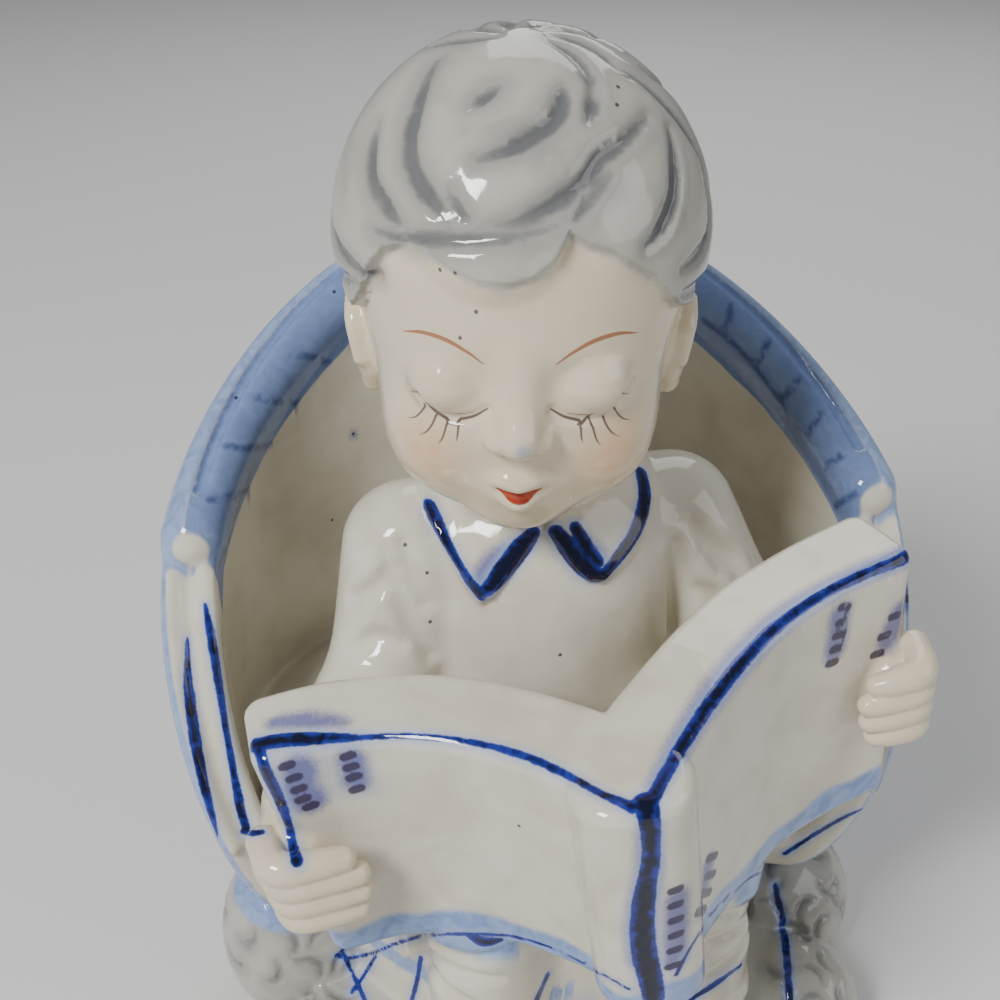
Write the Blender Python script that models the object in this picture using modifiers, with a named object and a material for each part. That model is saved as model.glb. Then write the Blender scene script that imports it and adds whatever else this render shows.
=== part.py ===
"""A glazed porcelain figurine: a boy sits in a tub armchair and reads a newspaper.

Chair, boy, newspaper and mound are cast and fired as one piece, so they make one solid.
Metres, +Z up, the boy faces -Y, his left hand is at +X. The origin is on the table,
below the middle of the chair.
"""

from math import cos, pi, radians, sin, sqrt

import bmesh
import bpy
from mathutils import Euler, Matrix, Vector

MM = 0.001

# Chair
CHAIR_WIDTH = 109 * MM
CHAIR_DEPTH = 96 * MM
CHAIR_WALL = 8 * MM
CHAIR_FOOT_WIDTH = 76 * MM
RIM_ROLL = 9 * MM
BACK_HEIGHT = 112 * MM
ARM_HEIGHT = 82 * MM
ARM_FOOT = 43 * MM
SEAT_HEIGHT = 48 * MM
SEAT_WIDTH = 92 * MM
SEAT_DEPTH = 70 * MM
SEAT_BACK = 5 * MM
SEAT_TAPER = 0.8
PEDESTAL_WIDTH = 66 * MM
SEAT_ROUNDING = 5 * MM
TUB_BOTTOM = 23 * MM
BOWL_HEIGHT = 72 * MM

# Angles round the chair, from the middle of its back
ROLL_END = 79
WING_END = 109
RIM_SWEEP = 2.25

# Mound under the chair
MOUND_WIDTH = 84 * MM
MOUND_DEPTH = 88 * MM
MOUND_HEIGHT = 13 * MM
MOUND_FORWARD = 6 * MM
MOUND_TAPER = 0.9
TOE_WIDTH = 55 * MM
TOE_DEPTH = 44 * MM
TOE_HEIGHT = 9 * MM
TOE_FORWARD = 31 * MM
BUSH_WIDTH = 27 * MM
BUSH_DEPTH = 28 * MM
LEFT_BUSH_HEIGHT = 21 * MM
RIGHT_BUSH_HEIGHT = 28 * MM
BUSH_SPREAD = 38 * MM
STONES = 13
STONE_SIZE = 16 * MM
STONE_SHARES = (0.85, 1.10, 1.00, 0.90, 1.15, 1.05, 0.95)
STONE_INSET = 2.5 * MM
LUMP_SUNK = 0.15

# Boy: seat to crown. His own sizes and places are hundredths of this.
BOY_HEIGHT = 100 * MM
BOY_SEAT_LIFT = 2 * MM
BOY_ASIDE = -1.5 * MM
BOY_TURN = 5
SHOE_LENGTH = 23 * MM
SHOE_WIDTH = 13 * MM
SHOE_HEIGHT = 12 * MM

# Newspaper
PAPER_HEIGHT = 36.5 * MM
PAPER_THICKNESS = 12 * MM
PAPER_ROUNDING = 2.6 * MM
PAPER_LEAN = 4
PAPER_ROLL = 8.2
PAPER_NARROWING = 0.92
PAPER_DROP = 5 * MM

# Surface
VOXEL = 0.8 * MM
SMOOTH_PASSES = 5
TRIANGLE_SHARE = 0.029
TUBE_STEPS = 6

PORCELAIN = (0.80, 0.78, 0.70, 1.0)


def clear_scene():
    for obj in list(bpy.data.objects):
        bpy.data.objects.remove(obj)


def mesh_object(name, build):
    """An object whose mesh the function build fills."""
    mesh = bpy.data.meshes.new(name)
    cage = bmesh.new()
    build(cage)
    bmesh.ops.recalc_face_normals(cage, faces=cage.faces)
    cage.to_mesh(mesh)
    cage.free()
    obj = bpy.data.objects.new(name, mesh)
    bpy.context.scene.collection.objects.link(obj)
    return obj


def ellipsoid(name, centre, radii, turn=(0, 0, 0), segments=32):
    """A ball scaled to three radii, turned by XYZ angles in degrees."""
    place = Matrix.LocRotScale(Vector(centre), Euler([radians(a) for a in turn]), Vector(radii))

    def build(cage):
        bmesh.ops.create_uvsphere(
            cage, u_segments=segments, v_segments=segments // 2, radius=1, matrix=place
        )

    return mesh_object(name, build)


def smooth_path(points, steps=TUBE_STEPS):
    """Points of a Catmull-Rom curve through the given ones, which may carry a radius too."""
    padded = [2 * points[0] - points[1], *points, 2 * points[-1] - points[-2]]
    path = []
    for before, start, end, after in zip(padded, padded[1:], padded[2:], padded[3:]):
        for step in range(steps):
            t = step / steps
            path.append(
                0.5
                * (
                    2 * start
                    + (end - before) * t
                    + (2 * before - 5 * start + 4 * end - after) * t**2
                    + (3 * start - before - 3 * end + after) * t**3
                )
            )
    return path + [points[-1]]


def to_mesh(obj):
    """The curve object as a mesh object, with its caps welded to its sides."""
    graph = bpy.context.evaluated_depsgraph_get()
    mesh = bpy.data.meshes.new_from_object(obj.evaluated_get(graph))
    cage = bmesh.new()
    cage.from_mesh(mesh)
    bmesh.ops.remove_doubles(cage, verts=cage.verts, dist=0.01 * MM)
    bmesh.ops.recalc_face_normals(cage, faces=cage.faces)
    cage.to_mesh(mesh)
    cage.free()
    made = bpy.data.objects.new(obj.name + ".mesh", mesh)
    made.matrix_world = obj.matrix_world
    bpy.context.scene.collection.objects.link(made)
    bpy.data.objects.remove(obj)
    return made


def tube(name, points, radii):
    """A round limb through the points, with a radius at each and a ball at each end."""
    marks = [Vector((*point, radius)) for point, radius in zip(points, radii)]
    path = smooth_path(marks)
    curve = bpy.data.curves.new(name, "CURVE")
    curve.dimensions = "3D"
    curve.bevel_depth = 1
    curve.bevel_resolution = 4
    curve.use_fill_caps = True
    spline = curve.splines.new("POLY")
    spline.points.add(len(path) - 1)
    for knot, mark in zip(spline.points, path):
        knot.co = (*mark[:3], 1)
        knot.radius = mark[3]
    obj = bpy.data.objects.new(name, curve)
    bpy.context.scene.collection.objects.link(obj)
    ends = [ellipsoid(name + ".end", path[i][:3], [path[i][3]] * 3, segments=16) for i in (0, -1)]
    return [to_mesh(obj), *ends]


# Chair


def chair_radius(z):
    """Share of the full width that the chair's outside has at a height, like a round bowl."""
    foot = CHAIR_FOOT_WIDTH / CHAIR_WIDTH
    drop = max(0.0, min(1.0, (BOWL_HEIGHT - z) / (BOWL_HEIGHT - TUB_BOTTOM)))
    return foot + (1 - foot) * sqrt(1 - drop**2)


def chair_point(angle, z, inset=0.0):
    """A point of the chair's outside. The angle is in degrees from the middle of the back."""
    share = chair_radius(z)
    turn = radians(angle)
    return Vector(
        (
            (CHAIR_WIDTH / 2 * share - inset) * sin(turn),
            (CHAIR_DEPTH / 2 * share - inset) * cos(turn),
            z,
        )
    )


def rim_height(angle):
    """Height of the chair's upper edge: high at the back, then steeply down the arm fronts."""
    away = abs(angle)
    if away <= ROLL_END:
        share = ((1 + cos(radians(away))) / 2) ** RIM_SWEEP
        low = ((1 + cos(radians(ROLL_END))) / 2) ** RIM_SWEEP
        return ARM_HEIGHT + (BACK_HEIGHT - ARM_HEIGHT) * (share - low) / (1 - low)
    fall = (away - ROLL_END) / (WING_END - ROLL_END)
    return ARM_HEIGHT + (ARM_FOOT - ARM_HEIGHT) * fall


def chair_shell():
    """The tub: an open surface that Solidify gives its wall."""
    around, upward = 78, 14

    def build(cage):
        rings = []
        for level in range(upward + 1):
            ring = []
            for step in range(around + 1):
                angle = WING_END * (2 * step / around - 1)
                rise = (rim_height(angle) - TUB_BOTTOM) * level / upward
                ring.append(cage.verts.new(chair_point(angle, TUB_BOTTOM + rise)))
            rings.append(ring)
        for low, high in zip(rings, rings[1:]):
            for i in range(around):
                cage.faces.new((low[i], low[i + 1], high[i + 1], high[i]))

    shell = mesh_object("shell", build)
    solid = shell.modifiers.new("wall", "SOLIDIFY")
    solid.thickness = CHAIR_WALL
    solid.offset = -1
    return [shell]


def chair_roll():
    """The thick roll along the top of the back."""
    count = 17
    angles = [-ROLL_END + 2 * ROLL_END * i / (count - 1) for i in range(count)]
    radius = RIM_ROLL / 2
    points = [
        chair_point(a, rim_height(a), inset=radius) - Vector((0, 0, radius * 0.4)) for a in angles
    ]
    return tube("roll", points, [radius] * count)


def disc(name, width, depth, bottom, top, top_share=1.0, forward=0.0):
    """An elliptical block as wide as given at its bottom, and by a share of it at its top."""

    def build(cage):
        made = bmesh.ops.create_cone(
            cage, cap_ends=True, segments=64, radius1=0.5, radius2=0.5 * top_share, depth=1
        )
        for vert in made["verts"]:
            vert.co = Vector(
                (
                    vert.co.x * width,
                    vert.co.y * depth - forward,
                    bottom + (vert.co.z + 0.5) * (top - bottom),
                )
            )

    return mesh_object(name, build)


def chair_seat():
    """The seat block fills the tub and shows between the arms, and the pedestal carries it."""
    low_width, low_depth = SEAT_WIDTH * SEAT_TAPER, SEAT_DEPTH * SEAT_TAPER
    seat = disc("seat", low_width, low_depth, TUB_BOTTOM, SEAT_HEIGHT, 1 / SEAT_TAPER, -SEAT_BACK)
    edge = seat.modifiers.new("edge", "BEVEL")
    edge.width = SEAT_ROUNDING
    edge.segments = 4
    edge.limit_method = "ANGLE"
    pedestal = disc(
        "pedestal",
        PEDESTAL_WIDTH,
        PEDESTAL_WIDTH * CHAIR_DEPTH / CHAIR_WIDTH,
        MOUND_HEIGHT / 2,
        SEAT_HEIGHT - SEAT_ROUNDING,
    )
    return [seat, pedestal]


# Mound


def mound():
    """A flat-bottomed mound with stones round its foot and a bush at each side."""
    pieces = [
        disc("mound", MOUND_WIDTH, MOUND_DEPTH, 0, MOUND_HEIGHT, MOUND_TAPER, MOUND_FORWARD),
        disc("toe", TOE_WIDTH, TOE_DEPTH, 0, TOE_HEIGHT, MOUND_TAPER, TOE_FORWARD),
    ]
    for i in range(STONES):
        angle = 2 * pi * i / STONES
        size = STONE_SIZE * STONE_SHARES[i % len(STONE_SHARES)]
        centre = Vector(
            (
                (MOUND_WIDTH / 2 - STONE_INSET) * sin(angle),
                (MOUND_DEPTH / 2 - STONE_INSET) * cos(angle) - MOUND_FORWARD,
                size * (0.5 - LUMP_SUNK),
            )
        )
        pieces.append(ellipsoid("stone", centre, [size / 2] * 3))
    for side, height in ((1, LEFT_BUSH_HEIGHT), (-1, RIGHT_BUSH_HEIGHT)):
        # The bush reaches its height above the table though its foot is sunk
        tall = height / (1 - LUMP_SUNK)
        centre = Vector((side * BUSH_SPREAD, 0, height - tall / 2))
        pieces.append(ellipsoid("bush", centre, (BUSH_WIDTH / 2, BUSH_DEPTH / 2, tall / 2)))
    return pieces


# Boy


def boy_frame():
    """The boy's own frame: he sits a little to one side and turned in the chair."""
    seat = Vector((BOY_ASIDE, 0, SEAT_HEIGHT + BOY_SEAT_LIFT))
    return Matrix.Translation(seat) @ Matrix.Rotation(radians(BOY_TURN), 4, "Z")


def boy(x, y, z):
    """A point given in hundredths of the boy's height, from the middle of the seat's top."""
    return boy_frame() @ (Vector((x, y, z)) * BOY_HEIGHT / 100)


def boy_size(*values):
    return [value * BOY_HEIGHT / 100 for value in values]


HEAD_TILT = 8
HEAD_YAW = -14
HEAD_CENTRE = (-4.1, -5, 70.5)


def head_matrix():
    turn = Euler((radians(HEAD_TILT), 0, radians(HEAD_YAW))).to_matrix().to_4x4()
    return boy_frame() @ Matrix.Translation(Vector(HEAD_CENTRE) * BOY_HEIGHT / 100) @ turn


def on_head(x, y, z):
    """A point given in hundredths of the boy's height, in the tilted head's own frame."""
    return head_matrix() @ (Vector((x, y, z)) * BOY_HEIGHT / 100)


def head_ball(name, centre, radii):
    return ellipsoid(name, on_head(*centre), boy_size(*radii), (HEAD_TILT, 0, HEAD_YAW + BOY_TURN))


# Balls of the head: centre, then radii
SKULL = [
    ((0, 2.5, 5.6), (20.6, 22.2, 21.4)),
    ((0, -4.5, -8.0), (17.4, 16.4, 18.4)),
    ((0, -12.0, -21.8), (7.4, 7.0, 5.8)),
    ((-8.2, -10.8, -14.0), (7.6, 7.8, 8.4)),
    ((8.2, -10.8, -14.0), (7.6, 7.8, 8.4)),
]

# Balls at each side of the face, for the boy's left side
FACE_SIDE = [
    ((7.7, -15.4, -6.0), (5.0, 4.6, 4.2)),
    ((2.3, -20.6, -10.9), (1.6, 1.8, 1.4)),
    ((18.8, 0.4, -8.2), (2.6, 5.0, 7.0)),
]

# Nose and lips: points, then a radius at each
NOSE = ([(0, -18.4, -1.5), (0, -19.9, -6.0), (0, -21.7, -9.8)], (1.5, 1.8, 2.3))
UPPER_LIP = ([(-3.5, -19.5, -18.8), (0, -20.9, -18.2), (3.5, -19.5, -18.8)], (0.7, 1.1, 0.7))
LOWER_LIP = ([(-2.7, -19.6, -20.3), (0, -20.6, -20.9), (2.7, -19.6, -20.3)], (0.7, 1.2, 0.7))


def skull():
    return [head_ball("skull", centre, radii) for centre, radii in SKULL]


def face():
    """Closed eyes, a small nose and a small mouth, at a doll's usual places, and the ears."""
    pieces = []
    for (x, y, z), radii in FACE_SIDE:
        pieces += [head_ball("feature", (side * x, y, z), radii) for side in (-1, 1)]
    for points, radii in (NOSE, UPPER_LIP, LOWER_LIP):
        pieces += tube("feature", [on_head(*point) for point in points], boy_size(*radii))
    return pieces


HAIR_CENTRE = (0, 3.0, 6.5)
HAIR_RADII = (21.6, 23.4, 22.6)
HAIR_CAP = ((0, 4.6, 7.6), (21.6, 21.8, 21.4))


def on_hair(bearing, height, lift=0.0):
    """A point on the hair. The bearing is in degrees from the face, to the boy's left, and
    the height in degrees above the middle of the head."""
    turn, rise = radians(bearing), radians(height)
    away = Vector((sin(turn) * cos(rise), -cos(turn) * cos(rise), sin(rise)))
    radii = [radius + lift for radius in HAIR_RADII]
    return on_head(*[c + r * a for c, r, a in zip(HAIR_CENTRE, radii, away)])


# Each lock: its points as (bearing, height), then its thickness in the middle
LOCKS = [
    ([(22, 44), (2, 24), (-24, 20), (-44, 32)], 4.6),
    ([(26, 50), (36, 30), (46, 18), (54, 6)], 3.6),
    ([(38, 52), (52, 32), (62, 14), (66, 0)], 3.8),
    ([(56, 52), (72, 30), (80, 10), (82, -8)], 4.0),
    ([(84, 50), (94, 26), (98, 6), (98, -12)], 4.2),
    ([(-34, 50), (-46, 36), (-56, 22), (-64, 10)], 3.8),
    ([(-56, 50), (-66, 30), (-74, 14), (-78, 0)], 3.8),
    ([(-84, 50), (-92, 26), (-94, 6), (-92, -12)], 4.2),
    ([(0, 74), (-30, 58), (-50, 46), (-66, 38)], 3.6),
    ([(40, 76), (14, 58), (-6, 42), (-26, 34)], 4.2),
    ([(90, 72), (50, 62), (30, 54), (12, 40)], 4.2),
]
LOCK_SHARES = (0.55, 1.0, 0.95, 0.5)
LOCK_SUNK = 0.7

# The locks at the nape: how many, between which bearings, and each one's course
NAPE_LOCKS = 9
NAPE_START = 110
NAPE_END = 250
NAPE_COURSE = [(-8, 44, -2.4), (0, 8, -1.6), (7, -26, -2.0)]
NAPE_RADII = (3.0, 4.0, 2.4)


def hair():
    """A cap, thick locks swept over the brow and the temples, and a row of locks at the nape."""
    pieces = [head_ball("cap", *HAIR_CAP)]
    for bearings, thickness in LOCKS:
        points = [on_hair(bearing, height, -thickness * LOCK_SUNK) for bearing, height in bearings]
        pieces += tube("lock", points, boy_size(*[thickness * share for share in LOCK_SHARES]))
    for i in range(NAPE_LOCKS):
        bearing = NAPE_START + (NAPE_END - NAPE_START) * i / (NAPE_LOCKS - 1)
        points = [on_hair(bearing + aside, height, lift) for aside, height, lift in NAPE_COURSE]
        pieces += tube("nape_lock", points, boy_size(*NAPE_RADII))
    return pieces


# Balls of the body from the hips to the shoulders: centre, then radii
BODY = [
    ((1, 3, 6), (22, 18, 13)),
    ((1.5, 0, 15), (18.8, 15.5, 21)),
    ((1, 0.5, 26), (18.2, 15, 18)),
    ((1, 2.5, 33), (23, 10.5, 8.5)),
]
NECK = ([(0, 3, 38), (-2.5, 0, 50)], (10, 9))

# Each half of the collar, from behind the neck to its point: middle, how far aside, y and z
COLLAR = [(1, 12.5, 5, 43), (-1, 12.0, -8, 40), (-3.5, 8, -15.0, 36), (-4.5, 2.6, -15.5, 40.5)]
COLLAR_RADII = (3.0, 3.6, 3.2, 2.2)


def torso():
    """Body in a shirt, with the collar's two points lying on the chest."""
    pieces = [ellipsoid("body", boy(*centre), boy_size(*radii)) for centre, radii in BODY]
    pieces += tube("neck", [boy(*point) for point in NECK[0]], boy_size(*NECK[1]))
    for side in (-1, 1):
        collar = [boy(middle + side * aside, y, z) for middle, aside, y, z in COLLAR]
        pieces += tube("collar", collar, boy_size(*COLLAR_RADII))
    return pieces


def paper_frame():
    """The newspaper's own frame: its origin is the top of the fold's outer side, +Y runs
    towards the boy and +Z up the page."""
    up = Vector((-sin(radians(PAPER_ROLL)), -sin(radians(PAPER_LEAN)), cos(radians(PAPER_LEAN))))
    up.normalize()
    right = (Vector((1, 0, 0)) - up * up.x).normalized()
    back = up.cross(right)
    turn = Matrix((right, back, up)).transposed().to_4x4()
    place = Matrix.Translation(boy(*PAPER_PLACE))
    return place @ Matrix.Rotation(radians(BOY_TURN), 4, "Z") @ turn


# The top of the fold's outer side, seen from the boy
PAPER_PLACE = (-1.6, -52, 27.5)

# The outer side of the open pages seen from above, in the newspaper's frame
PAPER_LINE = [
    (-41.5, 22.0),
    (-31, 22.0),
    (-20, 18.4),
    (-9, 9.6),
    (0, 0),
    (10, 9.6),
    (23, 20.4),
    (34, 26),
    (47, 30),
]


def on_paper(x, y, z):
    """A point of the newspaper's frame, in hundredths of the boy's height. The newspaper
    narrows a little towards the bottom."""
    unit = BOY_HEIGHT / 100
    share = 1 + (1 - PAPER_NARROWING) * z * unit / PAPER_HEIGHT
    return paper_frame() @ (Vector((x * share, y * share, z)) * unit)


def newspaper():
    """Both pages as one curved slab: an open sheet that Solidify and Bevel make thick."""
    line = smooth_path([Vector(point) for point in PAPER_LINE], 4)
    rows = 9
    # The page at the boy's left hangs lower towards its outer end
    height = 100 * PAPER_HEIGHT / BOY_HEIGHT
    drop = 100 * PAPER_DROP / BOY_HEIGHT / line[-1].x

    def build(cage):
        grid = []
        for row in range(rows):
            share = row / (rows - 1)
            places = [(p, -(height + drop * max(0.0, p.x)) * share) for p in line]
            grid.append([cage.verts.new(on_paper(p.x, p.y, z)) for p, z in places])
        for high, low in zip(grid, grid[1:]):
            for i in range(len(line) - 1):
                cage.faces.new((low[i], low[i + 1], high[i + 1], high[i]))

    sheet = mesh_object("newspaper", build)
    thick = sheet.modifiers.new("thickness", "SOLIDIFY")
    thick.thickness = PAPER_THICKNESS
    thick.offset = -1
    round_edges = sheet.modifiers.new("rounding", "BEVEL")
    round_edges.width = PAPER_ROUNDING
    round_edges.segments = 3
    round_edges.limit_method = "ANGLE"
    round_edges.angle_limit = radians(50)
    return [sheet]


# Each arm: side, shoulder, elbow, where the hand holds the newspaper's edge, fingers' reach
ARMS = [
    (-1, (-18.0, 2, 31.0), (-22.5, -3, 15), (-42.5, 21.6, -18.0), 9.0),
    (1, (20.0, 2, 31.0), (27.5, -4, 17), (46.5, 28.5, -19.8), 7.4),
]
ARM_RADII = (9.0, 8.2, 6.6, 5.2)
FOREARM_SHARE = 0.35

# Wrist and palm from the hand's place on the edge: inwards and back, then their radii
WRIST = (3.5, 11.5)
PALM = (1.0, 2.0)
PALM_RADII = (5.0, 5.2)

# Fingers one above another. Each one's course: inwards as a share of its reach and then
# in hundredths, back, and down
FINGERS = 4
FINGER_RISE = 2.9
FINGER_SHORTER = 1.1
LONGEST_FINGER = 1.3
FINGER_COURSE = [(0, -1.6, 1.5, 0), (0, -0.2, -3.4, 0), (0.55, 0, -3.9, 0.4), (1, 0, -3.9, 0.8)]
FINGER_RADII = (2.2, 2.3, 2.1, 1.7)


def arms():
    """Sleeves down to the hands, which hold the newspaper's two edges."""
    pieces = []
    for side, shoulder, elbow, (edge_x, edge_y, middle), longest in ARMS:
        wrist = on_paper(edge_x - side * WRIST[0], edge_y + WRIST[1], middle)
        palm = on_paper(edge_x - side * PALM[0], edge_y + PALM[1], middle)
        forearm = wrist.lerp(boy(*elbow), FOREARM_SHARE)
        pieces += tube("arm", [boy(*shoulder), boy(*elbow), forearm, wrist], boy_size(*ARM_RADII))
        pieces += tube("palm", [wrist, palm], boy_size(*PALM_RADII))
        for finger in range(FINGERS):
            z = middle + FINGER_RISE * (FINGERS / 2 - 0.5 - finger)
            reach = longest - abs(finger - LONGEST_FINGER) * FINGER_SHORTER
            points = [
                on_paper(edge_x - side * (reach * share + inwards), edge_y + back, z - down)
                for share, inwards, back, down in FINGER_COURSE
            ]
            pieces += tube("finger", points, boy_size(*FINGER_RADII))
    return pieces


# Each leg: how far the hip and the knee are to each side of the legs' middle, how far
# forward and how high
LEGS_ASIDE = 2.2
HIP = (11, 0, 5.5)
KNEE = (15, -23.8, -1.8)
ANKLE_FORWARD = 25
THIGH_SHARE = 0.6
LEG_RADII = (11.0, 10.2, 9.4, 8.9, 8.2)


def legs():
    """Thighs on the seat, knees behind the newspaper, shins down to the shoes on the mound."""
    pieces = []
    for side in (-1, 1):
        hip = boy(LEGS_ASIDE + side * HIP[0], *HIP[1:])
        knee = boy(LEGS_ASIDE + side * KNEE[0], *KNEE[1:])
        ankle = boy(LEGS_ASIDE + side * KNEE[0], -ANKLE_FORWARD, 0)
        ankle.z = MOUND_HEIGHT + SHOE_HEIGHT / 3
        line = [hip, hip.lerp(knee, THIGH_SHARE), knee, knee.lerp(ankle, 0.5), ankle]
        pieces += tube("leg", line, boy_size(*LEG_RADII))
        shoe = Vector((ankle.x, ankle.y - SHOE_LENGTH / 5, MOUND_HEIGHT - SHOE_HEIGHT / 5))
        radii = (SHOE_WIDTH / 2, SHOE_LENGTH / 2, SHOE_HEIGHT / 2)
        pieces.append(ellipsoid("shoe", shoe, radii))
    return pieces


# Casting


def fuse(name, pieces):
    """One body from overlapping pieces, rounded at the joints as slip and glaze leave them."""
    graph = bpy.context.evaluated_depsgraph_get()
    joined = bmesh.new()
    for piece in pieces:
        mesh = bpy.data.meshes.new_from_object(piece.evaluated_get(graph))
        mesh.transform(piece.matrix_world)
        joined.from_mesh(mesh)
        bpy.data.meshes.remove(mesh)
    for piece in pieces:
        bpy.data.objects.remove(piece)
    mesh = bpy.data.meshes.new(name)
    joined.to_mesh(mesh)
    joined.free()
    body = bpy.data.objects.new(name, mesh)
    cast = body.modifiers.new("cast", "REMESH")
    cast.mode = "VOXEL"
    cast.voxel_size = VOXEL
    glaze = body.modifiers.new("glaze", "SMOOTH")
    glaze.iterations = SMOOTH_PASSES
    glaze.factor = 0.5
    thin = body.modifiers.new("thin", "DECIMATE")
    thin.ratio = TRIANGLE_SHARE
    return body


def table_cutter():
    """A slab that reaches up to the table's top, to cut the underside flat."""
    width = 2 * CHAIR_WIDTH

    def build(cage):
        place = Matrix.LocRotScale(Vector((0, 0, -width / 2)), None, Vector((width, width, width)))
        bmesh.ops.create_cube(cage, size=1, matrix=place)

    cutter = mesh_object("table_cutter", build)
    cutter.hide_render = True
    cutter.display_type = "WIRE"
    return cutter


def porcelain():
    material = bpy.data.materials.new("glazed_porcelain")
    material.use_nodes = True
    shader = material.node_tree.nodes["Principled BSDF"]
    shader.inputs["Base Color"].default_value = PORCELAIN
    shader.inputs["Roughness"].default_value = 0.12
    shader.inputs["Metallic"].default_value = 0.0
    return material


def main():
    clear_scene()
    pieces = chair_shell() + chair_roll() + chair_seat() + mound()
    pieces += skull() + face() + hair() + torso() + arms() + legs() + newspaper()
    figurine = fuse("boy_in_armchair", pieces)
    figurine.data.materials.append(porcelain())
    cutter = table_cutter()
    underside = figurine.modifiers.new("underside", "BOOLEAN")
    underside.operation = "DIFFERENCE"
    underside.solver = "EXACT"
    underside.object = cutter
    for title, obj in (("boy figurine", figurine), ("cutters", cutter)):
        collection = bpy.data.collections.new(title)
        bpy.context.scene.collection.children.link(collection)
        for old in list(obj.users_collection):
            old.objects.unlink(obj)
        collection.objects.link(obj)


main()
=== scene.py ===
"""Looks of the glazed porcelain figurine: a boy in a tub armchair reads a newspaper.

The CAD solid is cast as one piece, so one mesh replaces it. The forms are distances in
millimetres, blended as slip and glaze leave them, and the surface is drawn where the
distance is zero. The painting is stored on the mesh as distances to the painted strokes.
"""

from math import cos, pi, radians, sin, sqrt, tan

import bmesh
import bpy
import numpy as np
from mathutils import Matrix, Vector

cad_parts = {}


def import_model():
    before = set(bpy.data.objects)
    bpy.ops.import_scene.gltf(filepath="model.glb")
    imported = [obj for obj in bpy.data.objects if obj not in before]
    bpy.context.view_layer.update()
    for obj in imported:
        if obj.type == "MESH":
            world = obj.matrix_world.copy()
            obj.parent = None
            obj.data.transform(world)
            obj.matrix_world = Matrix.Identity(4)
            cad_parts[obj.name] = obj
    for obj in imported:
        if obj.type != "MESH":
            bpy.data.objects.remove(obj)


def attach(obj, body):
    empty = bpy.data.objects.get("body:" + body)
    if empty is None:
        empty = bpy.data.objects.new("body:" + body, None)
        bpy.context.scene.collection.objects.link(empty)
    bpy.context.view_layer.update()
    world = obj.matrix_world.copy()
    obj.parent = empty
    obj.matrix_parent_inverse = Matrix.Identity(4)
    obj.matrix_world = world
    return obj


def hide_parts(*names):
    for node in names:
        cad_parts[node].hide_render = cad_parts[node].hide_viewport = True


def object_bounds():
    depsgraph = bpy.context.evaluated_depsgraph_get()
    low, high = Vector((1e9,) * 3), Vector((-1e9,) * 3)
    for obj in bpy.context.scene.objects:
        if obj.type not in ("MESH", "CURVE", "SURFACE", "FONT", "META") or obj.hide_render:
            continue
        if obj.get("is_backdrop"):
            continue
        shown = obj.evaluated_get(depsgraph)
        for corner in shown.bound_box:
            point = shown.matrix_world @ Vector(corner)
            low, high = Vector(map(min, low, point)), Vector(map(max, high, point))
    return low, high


MM = 0.001
REAL = np.float32

# Chair, in millimetres as all sizes here
CHAIR_WIDTH, CHAIR_DEPTH, CHAIR_WALL = 108.6, 95.8, 8.0
CHAIR_FOOT_WIDTH, PEDESTAL_WIDTH = 76.0, 66.0
RIM_ROLL = 9.0
BACK_HEIGHT, ARM_HEIGHT, ARM_FOOT = 112.0, 82.0, 43.0
SEAT_WIDTH, SEAT_DEPTH, SEAT_HEIGHT = 92.0, 70.0, 48.0
SEAT_BACK, SEAT_TAPER, SEAT_ROUNDING = 5.0, 0.8, 5.0
TUB_BOTTOM, BOWL_HEIGHT = 23.0, 72.0
ROLL_END, WING_END, RIM_SWEEP = 79.0, 109.0, 2.25
WALL_ROUNDING = 3.0

# Mound
MOUND_WIDTH, MOUND_DEPTH, MOUND_HEIGHT, MOUND_FORWARD = 84.0, 88.0, 13.0, 6.0
MOUND_TAPER = 0.9
TOE_WIDTH, TOE_DEPTH, TOE_HEIGHT, TOE_FORWARD = 55.0, 44.0, 9.0, 31.0
BUSH_WIDTH, BUSH_DEPTH, BUSH_SPREAD = 27.0, 28.0, 38.0
LEFT_BUSH_HEIGHT, RIGHT_BUSH_HEIGHT = 21.0, 28.0
STONES, STONE_SIZE, STONE_INSET, LUMP_SUNK = 13, 16.0, 2.5, 0.15
STONE_SHARES = (0.85, 1.10, 1.00, 0.90, 1.15, 1.05, 0.95)

# Boy
BOY_SEAT_LIFT, BOY_ASIDE, BOY_TURN = 2.0, -1.5, 5.0
SHOE_LENGTH, SHOE_WIDTH, SHOE_HEIGHT = 23.0, 13.0, 12.0
HEAD_TILT, HEAD_YAW = 8.0, -14.0
HEAD_CENTRE = (-4.1, -5.0, 70.5)

# Newspaper
PAPER_HEIGHT, PAPER_THICKNESS, PAPER_ROUNDING = 36.5, 12.0, 2.6
PAPER_LEAN, PAPER_ROLL, PAPER_NARROWING, PAPER_DROP = 4.0, 8.2, 0.92, 5.0

# Surface
GRID = 0.5
TRIANGLES = 128000
FAR = 6.0
REACH = 4.5
BROAD_STROKE_EDGE, FINE_STROKE_EDGE = 0.6, 0.2
REFINE_ROUNDS, CLOSE_SHARE, CLOSE_MARGIN = 4, 0.6, 0.1

# The camera, and the picture's size in its own coordinates
CAMERA = np.array([-29.4, -159.9, 180.4])
LOOK = np.array([0.1205, 0.8576, -0.5])
HALF_VIEW, HALF_PICTURE = 20.0, 500.0


# Places and turns


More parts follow.
